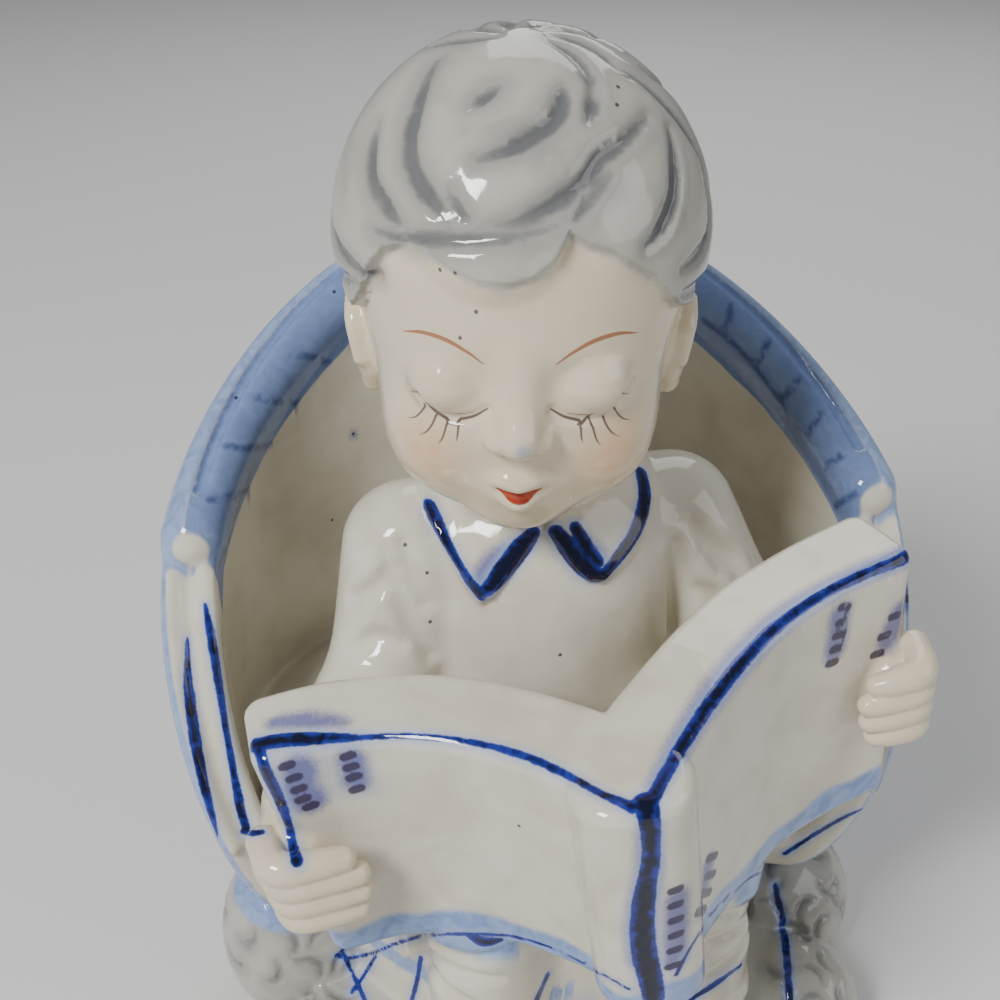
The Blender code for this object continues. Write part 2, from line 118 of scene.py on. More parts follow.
def turned(x=0.0, y=0.0, z=0.0):
    """A rotation matrix from angles in degrees about X, then Y, then Z."""
    a, b, c = radians(x), radians(y), radians(z)
    about_x = np.array([[1, 0, 0], [0, cos(a), -sin(a)], [0, sin(a), cos(a)]])
    about_y = np.array([[cos(b), 0, sin(b)], [0, 1, 0], [-sin(b), 0, cos(b)]])
    about_z = np.array([[cos(c), -sin(c), 0], [sin(c), cos(c), 0], [0, 0, 1]])
    return about_z @ about_y @ about_x


BOY_AXES = turned(z=BOY_TURN)
BOY_ORIGIN = np.array([BOY_ASIDE, 0.0, SEAT_HEIGHT + BOY_SEAT_LIFT])
HEAD_AXES = BOY_AXES @ turned(x=HEAD_TILT, z=HEAD_YAW)
HEAD_ORIGIN = BOY_ORIGIN + BOY_AXES @ np.array(HEAD_CENTRE)


def boy(*point):
    return BOY_ORIGIN + BOY_AXES @ np.array(point, float)


def on_head(*point):
    return HEAD_ORIGIN + HEAD_AXES @ np.array(point, float)


def paper_axes():
    up = np.array([-sin(radians(PAPER_ROLL)), -sin(radians(PAPER_LEAN)), cos(radians(PAPER_LEAN))])
    up /= np.linalg.norm(up)
    right = np.array([1.0, 0, 0]) - up * up[0]
    right /= np.linalg.norm(right)
    return BOY_AXES @ np.column_stack([right, np.cross(up, right), up])


PAPER_AXES = paper_axes()
PAPER_ORIGIN = boy(-1.6, -52, 27.5)


def on_paper(x, y, z):
    share = 1 + (1 - PAPER_NARROWING) * z / PAPER_HEIGHT
    return PAPER_ORIGIN + PAPER_AXES @ np.array([x * share, y * share, z])


def smooth_path(points, steps=5):
    """Points of a Catmull-Rom curve through the given rows, with a radius or not."""
    p = np.asarray(points, float)
    p = np.vstack([2 * p[0] - p[1], p, 2 * p[-1] - p[-2]])
    t = (np.arange(steps) / steps)[:, None]
    path = [
        0.5 * (2 * b + (c - a) * t + (2 * a - 5 * b + 4 * c - d) * t**2 + (3 * b - a - 3 * c + d) * t**3)
        for a, b, c, d in zip(p, p[1:], p[2:], p[3:])
    ]
    return np.vstack([*path, p[-2]])


# The camera's view: sizes and places in the picture, to lay relief and paint where they show

LOOK /= np.linalg.norm(LOOK)
VIEW_RIGHT = np.cross(LOOK, [0, 0, 1.0])
VIEW_RIGHT /= np.linalg.norm(VIEW_RIGHT)
VIEW_UP = np.cross(VIEW_RIGHT, LOOK)
FOCUS = HALF_PICTURE / tan(radians(HALF_VIEW))


def picture(x, y, z):
    """Picture coordinates of places, from the picture's upper left corner."""
    x, y, z = (v - REAL(c) for v, c in zip((x, y, z), CAMERA))
    far, right, up = (x * REAL(a) + y * REAL(b) + z * REAL(c) for a, b, c in (LOOK, VIEW_RIGHT, VIEW_UP))
    return HALF_PICTURE + FOCUS * right / far, HALF_PICTURE - FOCUS * up / far


def seen(marks):
    """Places on the casting that show at picture coordinates, and whether there is one."""
    marks = np.asarray(marks, float) - HALF_PICTURE
    away = LOOK * FOCUS + np.outer(marks[:, 0], VIEW_RIGHT) - np.outer(marks[:, 1], VIEW_UP)
    away /= np.linalg.norm(away, axis=1)[:, None]
    reach = np.full(len(marks), 80.0)
    for _ in range(60):
        gap = sculpt(Cloud((CAMERA + away * reach[:, None]).astype(REAL)))
        reach += np.clip(gap, -0.5, 5.0) * 0.9
    return CAMERA + away * reach[:, None], np.abs(gap) < 0.2


def outline_gap(u, v, outline):
    """Distance in the picture to a closed outline, negative inside it."""
    near = np.full(np.broadcast(u, v).shape, 1e6, REAL)
    inside = np.zeros(near.shape, bool)
    for (a, b), (c, d) in zip(outline, outline[1:] + outline[:1]):
        along = ((u - a) * (c - a) + (v - b) * (d - b)) / ((c - a) ** 2 + (d - b) ** 2)
        along = np.clip(along, 0, 1)
        near = np.minimum(near, np.hypot(u - a - along * (c - a), v - b - along * (d - b)))
        if b != d:
            crossing = ((v < b) != (v < d)) & (u < a + (v - b) * (c - a) / (d - b))
            inside ^= crossing
    return np.where(inside, -near, near)


# Where distances are worked out: on a grid, or at loose points


class Grid:
    def __init__(self, *axes):
        self.axes = axes
        self.shape = tuple(len(axis) for axis in axes)
        self.xyz = np.ix_(*axes)

    def near(self, low, high):
        spans = [np.searchsorted(axis, (a, b)) for axis, a, b in zip(self.axes, low, high)]
        key = tuple(slice(a, b) for a, b in spans)
        return key, Grid(*(axis[part] for axis, part in zip(self.axes, key)))


class Cloud:
    def __init__(self, points):
        self.points = points
        self.shape = (len(points),)
        self.xyz = points.T

    def near(self, low, high):
        key = np.flatnonzero(((self.points > low) & (self.points < high)).all(axis=1))
        return key, Cloud(self.points[key])


# Forms


class Ball:
    """A ball scaled to three radii and turned."""

    def __init__(self, centre, radii, axes=np.eye(3)):
        self.centre = np.asarray(centre, float)
        self.radii = np.asarray(radii, float) * np.ones(3)
        self.rows = (axes / self.radii).T
        half = np.sqrt(((axes * self.radii) ** 2).sum(axis=1))
        self.low, self.high = self.centre - half, self.centre + half

    def distance(self, place):
        x, y, z = (v - REAL(c) for v, c in zip(place.xyz, self.centre))
        near, steep = REAL(0), REAL(1e-9)
        for row, radius in zip(self.rows.astype(REAL), self.radii.astype(REAL)):
            q = (x * row[0] + y * row[1] + z * row[2]) ** 2
            near = near + q
            steep = steep + q / radius**2
        near = np.sqrt(near)
        return near * (near - 1) / np.sqrt(steep)


class Tube:
    """A round limb through points, with a radius at each."""

    def __init__(self, points, radii, steps=5):
        marks = np.column_stack([np.asarray(points, float), np.ones(len(points)) * radii])
        self.marks = smooth_path(marks, steps) if steps > 1 else marks
        self.marks[:, 3] = np.maximum(self.marks[:, 3], 0.01)
        places, radii = self.marks[:, :3], self.marks[:, 3:]
        self.low, self.high = (places - radii).min(axis=0), (places + radii).max(axis=0)

    def distance(self, place):
        nearest = np.full(place.shape, FAR, REAL)
        for a, b in zip(self.marks, self.marks[1:]):
            wide = REACH + max(a[3], b[3])
            key, close = place.near(np.minimum(a, b)[:3] - wide, np.maximum(a, b)[:3] + wide)
            if 0 in close.shape:
                continue
            x, y, z = (v - REAL(c) for v, c in zip(close.xyz, a))
            along = (b - a).astype(REAL)
            length = REAL(along[:3] @ along[:3] + 1e-9)
            t = np.clip((x * along[0] + y * along[1] + z * along[2]) / length, 0, 1)
            gap = (x - t * along[0]) ** 2 + (y - t * along[1]) ** 2 + (z - t * along[2]) ** 2
            gap = np.sqrt(gap) - (REAL(a[3]) + t * along[3])
            nearest[key] = np.minimum(nearest[key], gap)
        return nearest


def rounded(u, v, radius):
    """Where two sides meet, from the distance outside each, with a rounded edge."""
    u, v = u + radius, v + radius
    outside = np.sqrt(np.maximum(u, 0) ** 2 + np.maximum(v, 0) ** 2)
    return outside + np.minimum(np.maximum(u, v), 0) - radius


def ellipse_gap(x, y, wide, deep):
    """Distance outside an upright elliptical cylinder, and the ellipse's radius there."""
    near = np.sqrt((x / wide) ** 2 + (y / deep) ** 2)
    steep = np.sqrt((x / wide**2) ** 2 + (y / deep**2) ** 2) + REAL(1e-6)
    return near * (near - 1) / steep, near / steep


def rim_height(angle):
    """Height of the chair's upper edge at an angle from the middle of its back."""
    away = np.abs(angle)
    share = ((1 + np.cos(np.radians(away))) / 2) ** RIM_SWEEP
    low = ((1 + cos(radians(ROLL_END))) / 2) ** RIM_SWEEP
    back = ARM_HEIGHT + (BACK_HEIGHT - ARM_HEIGHT) * (share - low) / (1 - low)
    fall = (away - ROLL_END) / (WING_END - ROLL_END)
    return np.where(away <= ROLL_END, back, ARM_HEIGHT + (ARM_FOOT - ARM_HEIGHT) * fall)


def chair_angle(x, y):
    return np.degrees(np.arctan2(x / CHAIR_WIDTH, y / CHAIR_DEPTH))


def chair_radius(z):
    foot = CHAIR_FOOT_WIDTH / CHAIR_WIDTH
    drop = max(0.0, min(1.0, (BOWL_HEIGHT - z) / (BOWL_HEIGHT - TUB_BOTTOM)))
    return foot + (1 - foot) * sqrt(1 - drop**2)


def chair_point(angle, z, inset=0.0):
    """A point of the chair's outside, at an angle from the middle of the back."""
    share, turn = chair_radius(z), radians(angle)
    wide, deep = CHAIR_WIDTH / 2 * share - inset, CHAIR_DEPTH / 2 * share - inset
    return np.array([wide * sin(turn), deep * cos(turn), z])


def chair_gap(x, y, z):
    """Distance outside the bowl-shaped outer face of the chair."""
    foot = CHAIR_FOOT_WIDTH / CHAIR_WIDTH
    flat, radius = ellipse_gap(x, y, REAL(CHAIR_WIDTH / 2 * foot), REAL(CHAIR_DEPTH / 2 * foot))
    bulge = radius * REAL(1 / foot - 1)
    drop = REAL(BOWL_HEIGHT) - z
    deep = REAL(BOWL_HEIGHT - TUB_BOTTOM)
    u, v = np.maximum(flat, 0), np.maximum(drop, 0)
    near = np.sqrt((u / bulge) ** 2 + (v / deep) ** 2)
    steep = np.sqrt((u / bulge**2) ** 2 + (v / deep**2) ** 2) + REAL(1e-6)
    return np.where(drop > 0, near * (near - 1) / steep, flat - bulge)


class Shell:
    """The tub's wall, with the arm fronts sloping down to the seat."""

    low = np.array([-CHAIR_WIDTH / 2, -CHAIR_DEPTH / 2, TUB_BOTTOM])
    high = np.array([CHAIR_WIDTH / 2, CHAIR_DEPTH / 2, BACK_HEIGHT])

    def distance(self, place):
        x, y, z = place.xyz
        side = np.abs(chair_gap(x, y, z) + REAL(CHAIR_WALL / 2)) - REAL(CHAIR_WALL / 2)
        angle = np.abs(chair_angle(x, y))
        steps = np.linspace(0, 180, 721)
        heights = rim_height(steps)
        slope = np.gradient(heights, steps * radians(1) * CHAIR_WIDTH / 2)
        facing = 1 / np.sqrt(1 + slope**2)
        top = (z - np.interp(angle, steps, heights)) * np.interp(angle, steps, facing)
        bottom = TUB_BOTTOM - z
        end = (angle - WING_END) * radians(1) * CHAIR_WIDTH / 2
        across = np.maximum(np.maximum(top, end), bottom).astype(REAL)
        return rounded(side.astype(REAL), across, REAL(WALL_ROUNDING))


class Disc:
    """An elliptical block as wide as given at its bottom, and by a share of it at its top."""

    def __init__(self, width, depth, bottom, top, top_share=1.0, forward=0.0, edge=1.5):
        self.half = np.array([width / 2, depth / 2])
        self.bottom, self.top, self.share = bottom, top, top_share
        self.forward, self.edge = forward, edge
        wide = np.array([width, depth]) / 2 * max(1, top_share)
        self.low = np.array([-wide[0], -wide[1] - forward, bottom])
        self.high = np.array([wide[0], wide[1] - forward, top])

    def distance(self, place):
        x, y, z = place.xyz
        share = 1 + (self.share - 1) * (z - self.bottom) / (self.top - self.bottom)
        share = np.clip(share, 0.5, 1.5).astype(REAL)
        side, _ = ellipse_gap(x, y + REAL(self.forward), self.half[0] * share, self.half[1] * share)
        across = np.abs(z - REAL((self.top + self.bottom) / 2)) - REAL((self.top - self.bottom) / 2)
        return rounded(side.astype(REAL), across.astype(REAL), REAL(self.edge))


# The outer side of the open pages seen from above, in the newspaper's frame
PAPER_LINE = [
    (-41.5, 22.0),
    (-31, 22.0),
    (-20, 18.4),
    (-9, 9.6),
    (0, 0),
    (10, 9.6),
    (23, 20.4),
    (34, 26),
    (47, 30),
]


def page_height(x):
    """The page at the boy's left hangs lower towards its outer end."""
    return PAPER_HEIGHT + PAPER_DROP * np.maximum(x, 0) / PAPER_LINE[-1][0]


class Newspaper:
    """Both pages as one curved slab, thick as such castings are."""

    def __init__(self):
        line = smooth_path(PAPER_LINE, 8)
        way = np.gradient(line, axis=0)
        way /= np.linalg.norm(way, axis=1)[:, None]
        aside = np.column_stack([-way[:, 1], way[:, 0]])
        self.middle = line + aside * PAPER_THICKNESS / 2
        self.step = 0.25
        self.corner = np.array([-54.0, -14.0])
        self.count = np.array([440, 300])
        xs = self.corner[0] + self.step * np.arange(self.count[0])
        ys = self.corner[1] + self.step * np.arange(self.count[1])
        grid_x, grid_y = np.meshgrid(xs, ys, indexing="ij")
        nearest = np.full(grid_x.shape, 1e9)
        for a, b in zip(self.middle, self.middle[1:]):
            along = b - a
            t = ((grid_x - a[0]) * along[0] + (grid_y - a[1]) * along[1]) / (along @ along)
            t = np.clip(t, 0, 1)
            gap = np.hypot(grid_x - a[0] - t * along[0], grid_y - a[1] - t * along[1])
            nearest = np.minimum(nearest, gap)
        gap = nearest - PAPER_THICKNESS / 2
        # Square ends: past the last point the sheet's sides run on and its end face closes it
        for end, before in ((self.middle[0], self.middle[2]), (self.middle[-1], self.middle[-3])):
            out = (end - before) / np.linalg.norm(end - before)
            past = (grid_x - end[0]) * out[0] + (grid_y - end[1]) * out[1]
            off = np.abs((grid_x - end[0]) * out[1] - (grid_y - end[1]) * out[0])
            side = np.where(past > 0, off - PAPER_THICKNESS / 2, gap)
            gap = np.where((off < 15) & (past > -15), rounded(side, past, PAPER_ROUNDING), gap)
        self.gap = gap.astype(REAL)
        corners = [
            on_paper(x, y, z)
            for x in (-46, 52)
            for y in (-4, 44)
            for z in (0, -PAPER_HEIGHT - PAPER_DROP)
        ]
        self.low, self.high = np.min(corners, axis=0), np.max(corners, axis=0)

    def distance(self, place):
        x, y, z = (v - REAL(c) for v, c in zip(place.xyz, PAPER_ORIGIN))
        axes = PAPER_AXES.astype(REAL)
        u, v, w = (x * axes[0, i] + y * axes[1, i] + z * axes[2, i] for i in range(3))
        share = 1 + (1 - PAPER_NARROWING) * w / PAPER_HEIGHT
        column = (u / share - self.corner[0]) / self.step
        row = (v / share - self.corner[1]) / self.step
        column = np.clip(column, 0, self.count[0] - 1.001)
        row = np.clip(row, 0, self.count[1] - 1.001)
        i, j = column.astype(int), row.astype(int)
        a, b = (column - i).astype(REAL), (row - j).astype(REAL)
        side = (
            self.gap[i, j] * (1 - a) * (1 - b)
            + self.gap[i + 1, j] * a * (1 - b)
            + self.gap[i, j + 1] * (1 - a) * b
            + self.gap[i + 1, j + 1] * a * b
        )
        half = page_height(u) / 2
        across = (np.abs(w + half) - half).astype(REAL)
        return rounded(side, across, REAL(PAPER_ROUNDING - 0.6))


# The casting is a list of steps: (how, form, blend, part)
STEPS = []


def add(form, blend=1.0, part="body"):
    STEPS.append(("add", form, blend, part))


def cut(form, blend=0.6):
    STEPS.append(("cut", form, blend, ""))


def swell(low, high, amount):
    """Raises the surface by amount(x, y, z) millimetres inside a box."""
    form = type("Swell", (), {"low": np.array(low, float), "high": np.array(high, float)})
    form.amount = staticmethod(amount)
    STEPS.append(("swell", form, 0.0, ""))


def blended(a, b, reach):
    """The smaller of two distances, with a fillet where they are alike."""
    near = np.maximum(reach - np.abs(a - b), 0) / reach
    return np.minimum(a, b) - near * near * (reach * REAL(0.25))


def sculpt(place):
    """Distance to the casting's surface in millimetres, negative inside."""
    field = np.full(place.shape, FAR, REAL)
    for how, form, blend, _ in STEPS:
        key, close = place.near(form.low - REACH, form.high + REACH)
        if 0 in close.shape:
            continue
        old = field[key]
        if how == "swell":
            field[key] = old - form.amount(*close.xyz)
        elif how == "add":
            field[key] = blended(old, form.distance(close), REAL(blend))
        else:
            field[key] = -blended(-old, form.distance(close), REAL(blend))
    return np.maximum(field, -place.xyz[2])


def slope(points, reach=0.12):
    """Unit normals of the surface near the points."""
    corners = np.array([[1, -1, -1], [-1, -1, 1], [-1, 1, -1], [1, 1, 1]], float)
    total = np.zeros_like(points)
    for corner in corners:
        total += corner * sculpt(Cloud((points + corner * reach).astype(REAL)))[:, None]
    return total / (np.linalg.norm(total, axis=1)[:, None] + 1e-9)


def snapped(points, rounds=3):
    """The points moved onto the surface."""
    points = np.array(points, float)
    for _ in range(rounds):
        away = np.clip(sculpt(Cloud(points.astype(REAL))), -1.5, 1.5)
        points -= away[:, None] * slope(points)
    return points


def laid(lines):
    """Each line with its points moved onto the surface, all worked out at once."""
    places = snapped(np.vstack(lines))
    return np.split(places, np.cumsum([len(line) for line in lines])[:-1])


def drawn(strokes):
    """Tubes on the surface along strokes: picture coordinates, then half-widths in millimetres."""
    paths = [
        smooth_path(np.column_stack([points, np.ones(len(points)) * wide]), 4)
        for points, wide in strokes
    ]
    places, found = seen(np.vstack(paths)[:, :2])
    tubes = []
    start = 0
    for path in paths:
        part = slice(start, start + len(path))
        start += len(path)
        good = found[part]
        if good.sum() > 1:
            tubes.append(Tube(places[part][good], path[good, 2], 1))
    return tubes


# Chair


def chair():
    """The tub with its roll, the seat and the pedestal, and the ridges of the arm fronts."""
    add(Shell(), part="chair")
    low_width, low_depth = SEAT_WIDTH * SEAT_TAPER, SEAT_DEPTH * SEAT_TAPER
    seat = (low_width, low_depth, TUB_BOTTOM, SEAT_HEIGHT, 1 / SEAT_TAPER, -SEAT_BACK, SEAT_ROUNDING)
    add(Disc(*seat), 3.0, "chair")
    depth = PEDESTAL_WIDTH * CHAIR_DEPTH / CHAIR_WIDTH
    add(Disc(PEDESTAL_WIDTH, depth, MOUND_HEIGHT / 2, SEAT_HEIGHT - SEAT_ROUNDING), 2.0, "chair")
    radius = RIM_ROLL / 2
    line = [
        chair_point(a, float(rim_height(a)), radius) - np.array([0, 0, radius * 0.4])
        for a in np.linspace(-ROLL_END, ROLL_END, 25)
    ]
    add(Tube(line, radius, 3), 1.6, "roll")
    for side in (-1, 1):
        for inset, lift in ((CHAIR_WALL - 1.5, -0.7), (1.5, -0.9)):
            ridge = []
            for share in np.linspace(0.02, 1, 8):
                angle = ROLL_END + (WING_END - ROLL_END) * share
                ridge.append(chair_point(side * angle, float(rim_height(angle)) + lift, inset))
            add(Tube(ridge, [0.9, 1.3, 1.5, 1.5, 1.5, 1.4, 1.3, 1.0]), 1.4, "chair")
    # The groove between the rim's outer bead and its inner band
    groove = []
    for angle in np.linspace(-ROLL_END + 3, ROLL_END - 3, 40):
        groove.append(chair_point(angle, float(rim_height(angle)) + radius * 0.6 + 0.1, radius + 0.6))
    cut(Tube(groove, 0.5, 2), 1.6)


# Mound


def mound():
    """The mound with stones round its foot and a bush at each side: returns its lumps."""
    add(Disc(MOUND_WIDTH, MOUND_DEPTH, -2, MOUND_HEIGHT, MOUND_TAPER, MOUND_FORWARD), 2.0, "mound")
    add(Disc(TOE_WIDTH, TOE_DEPTH, -2, TOE_HEIGHT, MOUND_TAPER, TOE_FORWARD), 2.0, "mound")
    lumps = []
    for i in range(STONES):
        angle = 2 * pi * i / STONES
        size = STONE_SIZE * STONE_SHARES[i % len(STONE_SHARES)]
        x = (MOUND_WIDTH / 2 - STONE_INSET) * sin(angle)
        y = (MOUND_DEPTH / 2 - STONE_INSET) * cos(angle) - MOUND_FORWARD
        lumps.append(((x, y, size * (0.5 - LUMP_SUNK)), (size / 2,) * 3))
    for side, height in ((1, LEFT_BUSH_HEIGHT), (-1, RIGHT_BUSH_HEIGHT)):
        tall = height / (1 - LUMP_SUNK)
        radii = (BUSH_WIDTH / 2, BUSH_DEPTH / 2, tall / 2)
        lumps.append(((side * BUSH_SPREAD, 0, height - tall / 2), radii))
    for centre, radii in lumps:
        add(Ball(centre, radii), 1.0, "mound")
    return lumps


def curls(lumps):
    """Curled grooves all over the lumps, like tight foliage: returns them."""
    turn = 0
    lines = []
    for centre, radii in lumps:
        big = radii[0] > STONE_SIZE * 0.7
        rows, size = (5, 3.0) if big else (3, 2.6)
        for row in range(rows):
            rise = radians(10 + (17 if big else 26) * row)
            around = max(3, int(2 * pi * radii[0] * cos(rise) / (size * 2.3)))
            for i in range(around):
                turn += 1
                bearing = 2 * pi * (i + 0.5 * (row % 2)) / around
                out = np.array([sin(bearing) * cos(rise), cos(bearing) * cos(rise), sin(rise)])
                east = np.array([cos(bearing), -sin(bearing), 0])
                north = np.cross(east, out)
                middle = np.array(centre) + np.array(radii) * out
                spins = np.radians(turn * 67 + 30 * np.arange(5))
                wide = size * (1.0 - 0.08 * np.arange(5))
                arc = middle + np.outer(wide * np.cos(spins), east) + np.outer(wide * np.sin(spins), north)
                lines.append(arc)
    grooves = []
    for before, line in zip(lines, laid(lines)):
        if np.abs(line - before).max() < 2.5 and line[:, 2].min() > 0.8:
            grooves.append(Tube(line, [0.25, 0.5, 0.6, 0.5, 0.25], 2))
            cut(grooves[-1], 0.9)
    return grooves


# Boy


# Balls of the body from the hips to the shoulders: centre, radii, blend
BODY = [
    ((1, 3, 6), (22, 18, 13), 3.0),
    ((1.5, 0, 15), (18.8, 15.5, 21), 4.0),
    ((1, 0.5, 26), (18.2, 15, 18), 4.0),
    ((1, 2.5, 33), (23, 10.5, 8.5), 4.0),
]

# The two halves of the collar, as outlines in the picture
COLLAR = [
    [(424, 455), (422, 480), (424, 498), (433, 520), (443, 541), (454, 561), (466, 582), (481, 601),
     (492, 596), (503, 581), (514, 565), (525, 549), (540, 529), (520, 490), (470, 440)],
    [(549, 529), (562, 547), (575, 564), (590, 578), (604, 579), (618, 566), (630, 551), (641, 533),
     (648, 514), (651, 496), (650, 478), (642, 455), (600, 440), (560, 500)],
]
COLLAR_THICKNESS = 1.1


def collar_swell(x, y, z):
    u, v = picture(x, y, z)
    amount = REAL(0)
    for outline in COLLAR:
        gap = outline_gap(u, v, outline)
        amount = np.maximum(amount, np.clip((6.5 - gap) / 7, 0, 1))
    return (amount * amount * (3 - 2 * amount) * REAL(COLLAR_THICKNESS)).astype(REAL)


# Soft folds of the shirt, in the picture: points and half-widths
FOLDS = [
    ([(386, 556), (397, 592), (412, 625), (430, 655)], (0.3, 1.0, 1.1, 0.5)),
    ([(404, 545), (412, 575), (426, 604)], (0.3, 0.8, 0.3)),
    ([(352, 600), (372, 590), (390, 572)], (0.3, 0.7, 0.3)),
    ([(358, 645), (378, 638), (398, 645)], (0.3, 0.7, 0.3)),
    ([(676, 545), (680, 585), (676, 622), (665, 650)], (0.3, 1.0, 1.1, 0.5)),
    ([(690, 520), (706, 540), (722, 566)], (0.3, 0.9, 0.3)),
    ([(712, 545), (730, 558), (742, 578)], (0.3, 0.8, 0.3)),
    ([(700, 590), (716, 598), (728, 612)], (0.3, 0.7, 0.3)),
]


def ring(middle, across, over, radius):
    """Points of a closed ring round a limb."""
    turns = np.linspace(0, 2 * pi, 13)
    return [middle + radius * (cos(a) * across + sin(a) * over) for a in turns]


def torso():
    for centre, radii, blend in BODY:
        add(Ball(boy(*centre), radii, BOY_AXES), blend, "shirt")
    add(Tube([boy(0, 3, 38), boy(-2.5, 0, 50)], [10, 9]), 2.0, "skin")


# Each leg: how far the hip and the knee are to each side of the legs' middle, how far
# forward and how high
LEGS_ASIDE = 2.2
HIP, KNEE, ANKLE_FORWARD = (11, 0, 5.5), (15, -23.8, -1.8), 25.0


def legs():
    """Legs with soft folds over the shins, a cuff each, and plain shoes."""
    for side in (-1, 1):
        hip = boy(LEGS_ASIDE + side * HIP[0], *HIP[1:])
        knee = boy(LEGS_ASIDE + side * KNEE[0], *KNEE[1:])
        ankle = boy(LEGS_ASIDE + side * KNEE[0], -ANKLE_FORWARD, 0)
        ankle[2] = MOUND_HEIGHT + SHOE_HEIGHT / 3
        line = [hip, hip + (knee - hip) * 0.6, knee, (knee + ankle) / 2, ankle]
        add(Tube(line, [11.0, 10.2, 9.4, 8.9, 8.2]), 2.0, "trousers")
        shoe = np.array([ankle[0], ankle[1] - SHOE_LENGTH / 5, MOUND_HEIGHT - SHOE_HEIGHT / 5])
        add(Ball(shoe, (SHOE_WIDTH / 2, SHOE_LENGTH / 2, SHOE_HEIGHT / 2)), 1.0, "shoe")
        x_axis, y_axis, z_axis = np.eye(3)
        add(Tube(ring(ankle + 0.6 * z_axis, x_axis, y_axis, 8.2), 1.0, 2), 1.4, "trousers")
        for i, lift in enumerate((9.0, 14.0, 19.0)):
            arc = [
                ankle + lift * z_axis + 9.0 * np.array([sin(a) * side, -cos(a), 0.28 * sin(a * 1.5 + i)])
                for a in np.radians([0, 40, 80, 120])
            ]
            cut(Tube(snapped(arc), [0.3, 0.9, 0.9, 0.3]), 1.8)


# Each arm: side, shoulder, elbow, where the hand holds the newspaper's edge, fingers' reach
ARMS = [
    (-1, (-18.0, 2, 31.0), (-22.5, -3, 15), (-42.5, 21.6, -18.0), 9.4),
    (1, (20.0, 2, 31.0), (27.5, -4, 17), (46.5, 28.5, -19.8), 7.4),
]
FINGER_RISE, FINGERS = 2.9, 4


def wrist_at(side, edge_x, edge_y, middle):
    return on_paper(edge_x - side * 3.5, edge_y + 11.5, middle)


def arms():
    for side, shoulder, elbow, held, _ in ARMS:
        wrist = wrist_at(side, *held)
        fore = wrist + (boy(*elbow) - wrist) * 0.35
        add(Tube([boy(*shoulder), boy(*elbow), fore, wrist], [9.0, 8.2, 6.6, 5.4]), 2.2, "shirt")


def hands():
    """Cuffs, palms, four fingers in front of the page and a thumb behind it."""
    for side, _, elbow, (edge_x, edge_y, middle), longest in ARMS:
        wrist = wrist_at(side, edge_x, edge_y, middle)
        palm = on_paper(edge_x - side * 1.0, edge_y + 2.0, middle)
        elbow = boy(*elbow)
        along = (wrist - elbow) / np.linalg.norm(wrist - elbow)
        across = np.cross(along, [0, 0, 1.0])
        across /= np.linalg.norm(across)
        over = np.cross(across, along)
        for shift, wide in ((-3.2, 6.0), (-0.6, 5.8)):
            cuff = ring(wrist + along * shift, across, over, wide)
            add(Tube(cuff, 0.8, 2), 1.0, "shirt")
        add(Tube([wrist, palm], [4.8, 5.2]), 1.2, "hand")
        for finger in range(FINGERS):
            z = middle + FINGER_RISE * (FINGERS / 2 - 0.5 - finger)
            reach = longest - abs(finger - 1.3) * 1.1
            line = [
                on_paper(edge_x + side * 1.6, edge_y + 1.5, z),
                on_paper(edge_x + side * 0.2, edge_y - 3.4, z),
                on_paper(edge_x - side * reach * 0.55, edge_y - 3.9, z - 0.4),
                on_paper(edge_x - side * reach, edge_y - 2.6 - reach * 0.14, z - 0.8),
            ]
            add(Tube(line, [2.1, 2.2, 2.0, 1.6]), 0.45, "hand")
        # The thumb holds the page from behind
        thumb = [
            on_paper(edge_x - side * 2.0, edge_y + 10.0, middle + 4.0),
            on_paper(edge_x - side * 6.5, edge_y + 13.4, middle + 6.5),
            on_paper(edge_x - side * 11.0, edge_y + 12.6, middle + 8.5),
        ]
        add(Tube(thumb, [2.4, 2.3, 1.9]), 0.6, "hand")


# Head


def head_ball(centre, radii):
    return Ball(on_head(*centre), radii, HEAD_AXES)


def skull():
    for centre, radii, blend in (
        ((0, 2.5, 5.4), (20.6, 22.0, 21.2), 2.0),
        ((0, -4.5, -7.6), (17.2, 16.4, 17.8), 4.5),
        ((0, -12.0, -20.6), (7.2, 7.0, 5.6), 4.0),
        ((-8.2, -10.8, -13.4), (7.4, 7.8, 8.2), 4.0),
        ((8.2, -10.8, -13.4), (7.4, 7.8, 8.2), 4.0),
    ):
        add(head_ball(centre, radii), blend, "skin")


HAIR_CENTRE = (0, 3.0, 6.5)
HAIR_RADII = (21.6, 23.4, 22.6)


def on_hair(bearing, height, lift=0.0):
    """A point on the hair: degrees from the face to the boy's left, and degrees up."""
    turn, rise = radians(bearing), radians(height)
    away = (sin(turn) * cos(rise), -cos(turn) * cos(rise), sin(rise))
    return on_head(*[c + (r + lift) * a for c, r, a in zip(HAIR_CENTRE, HAIR_RADII, away)])


# Lower edge of the hair: (bearing, height), locks over the brow, the temples and the nape
HAIRLINE = [
    (-180, -34), (-140, -34), (-118, -28), (-104, -26), (-99, -16), (-94, -8), (-84, -6), (-76, -9),
    (-70, -14), (-62, -16), (-56, -10), (-50, 2), (-44, 10), (-36, 15), (-28, 14), (-20, 11),
    (-12, 8.5), (-4, 8), (4, 10), (10, 14), (15, 21), (21, 17), (28, 14), (34, 9), (42, 3),
    (48, -5), (56, -12), (64, -15), (70, -13), (76, -9), (84, -6), (94, -8), (99, -16), (104, -26),
    (118, -28), (140, -34), (180, -34),
]
HAIR_THICKNESS = 1.6


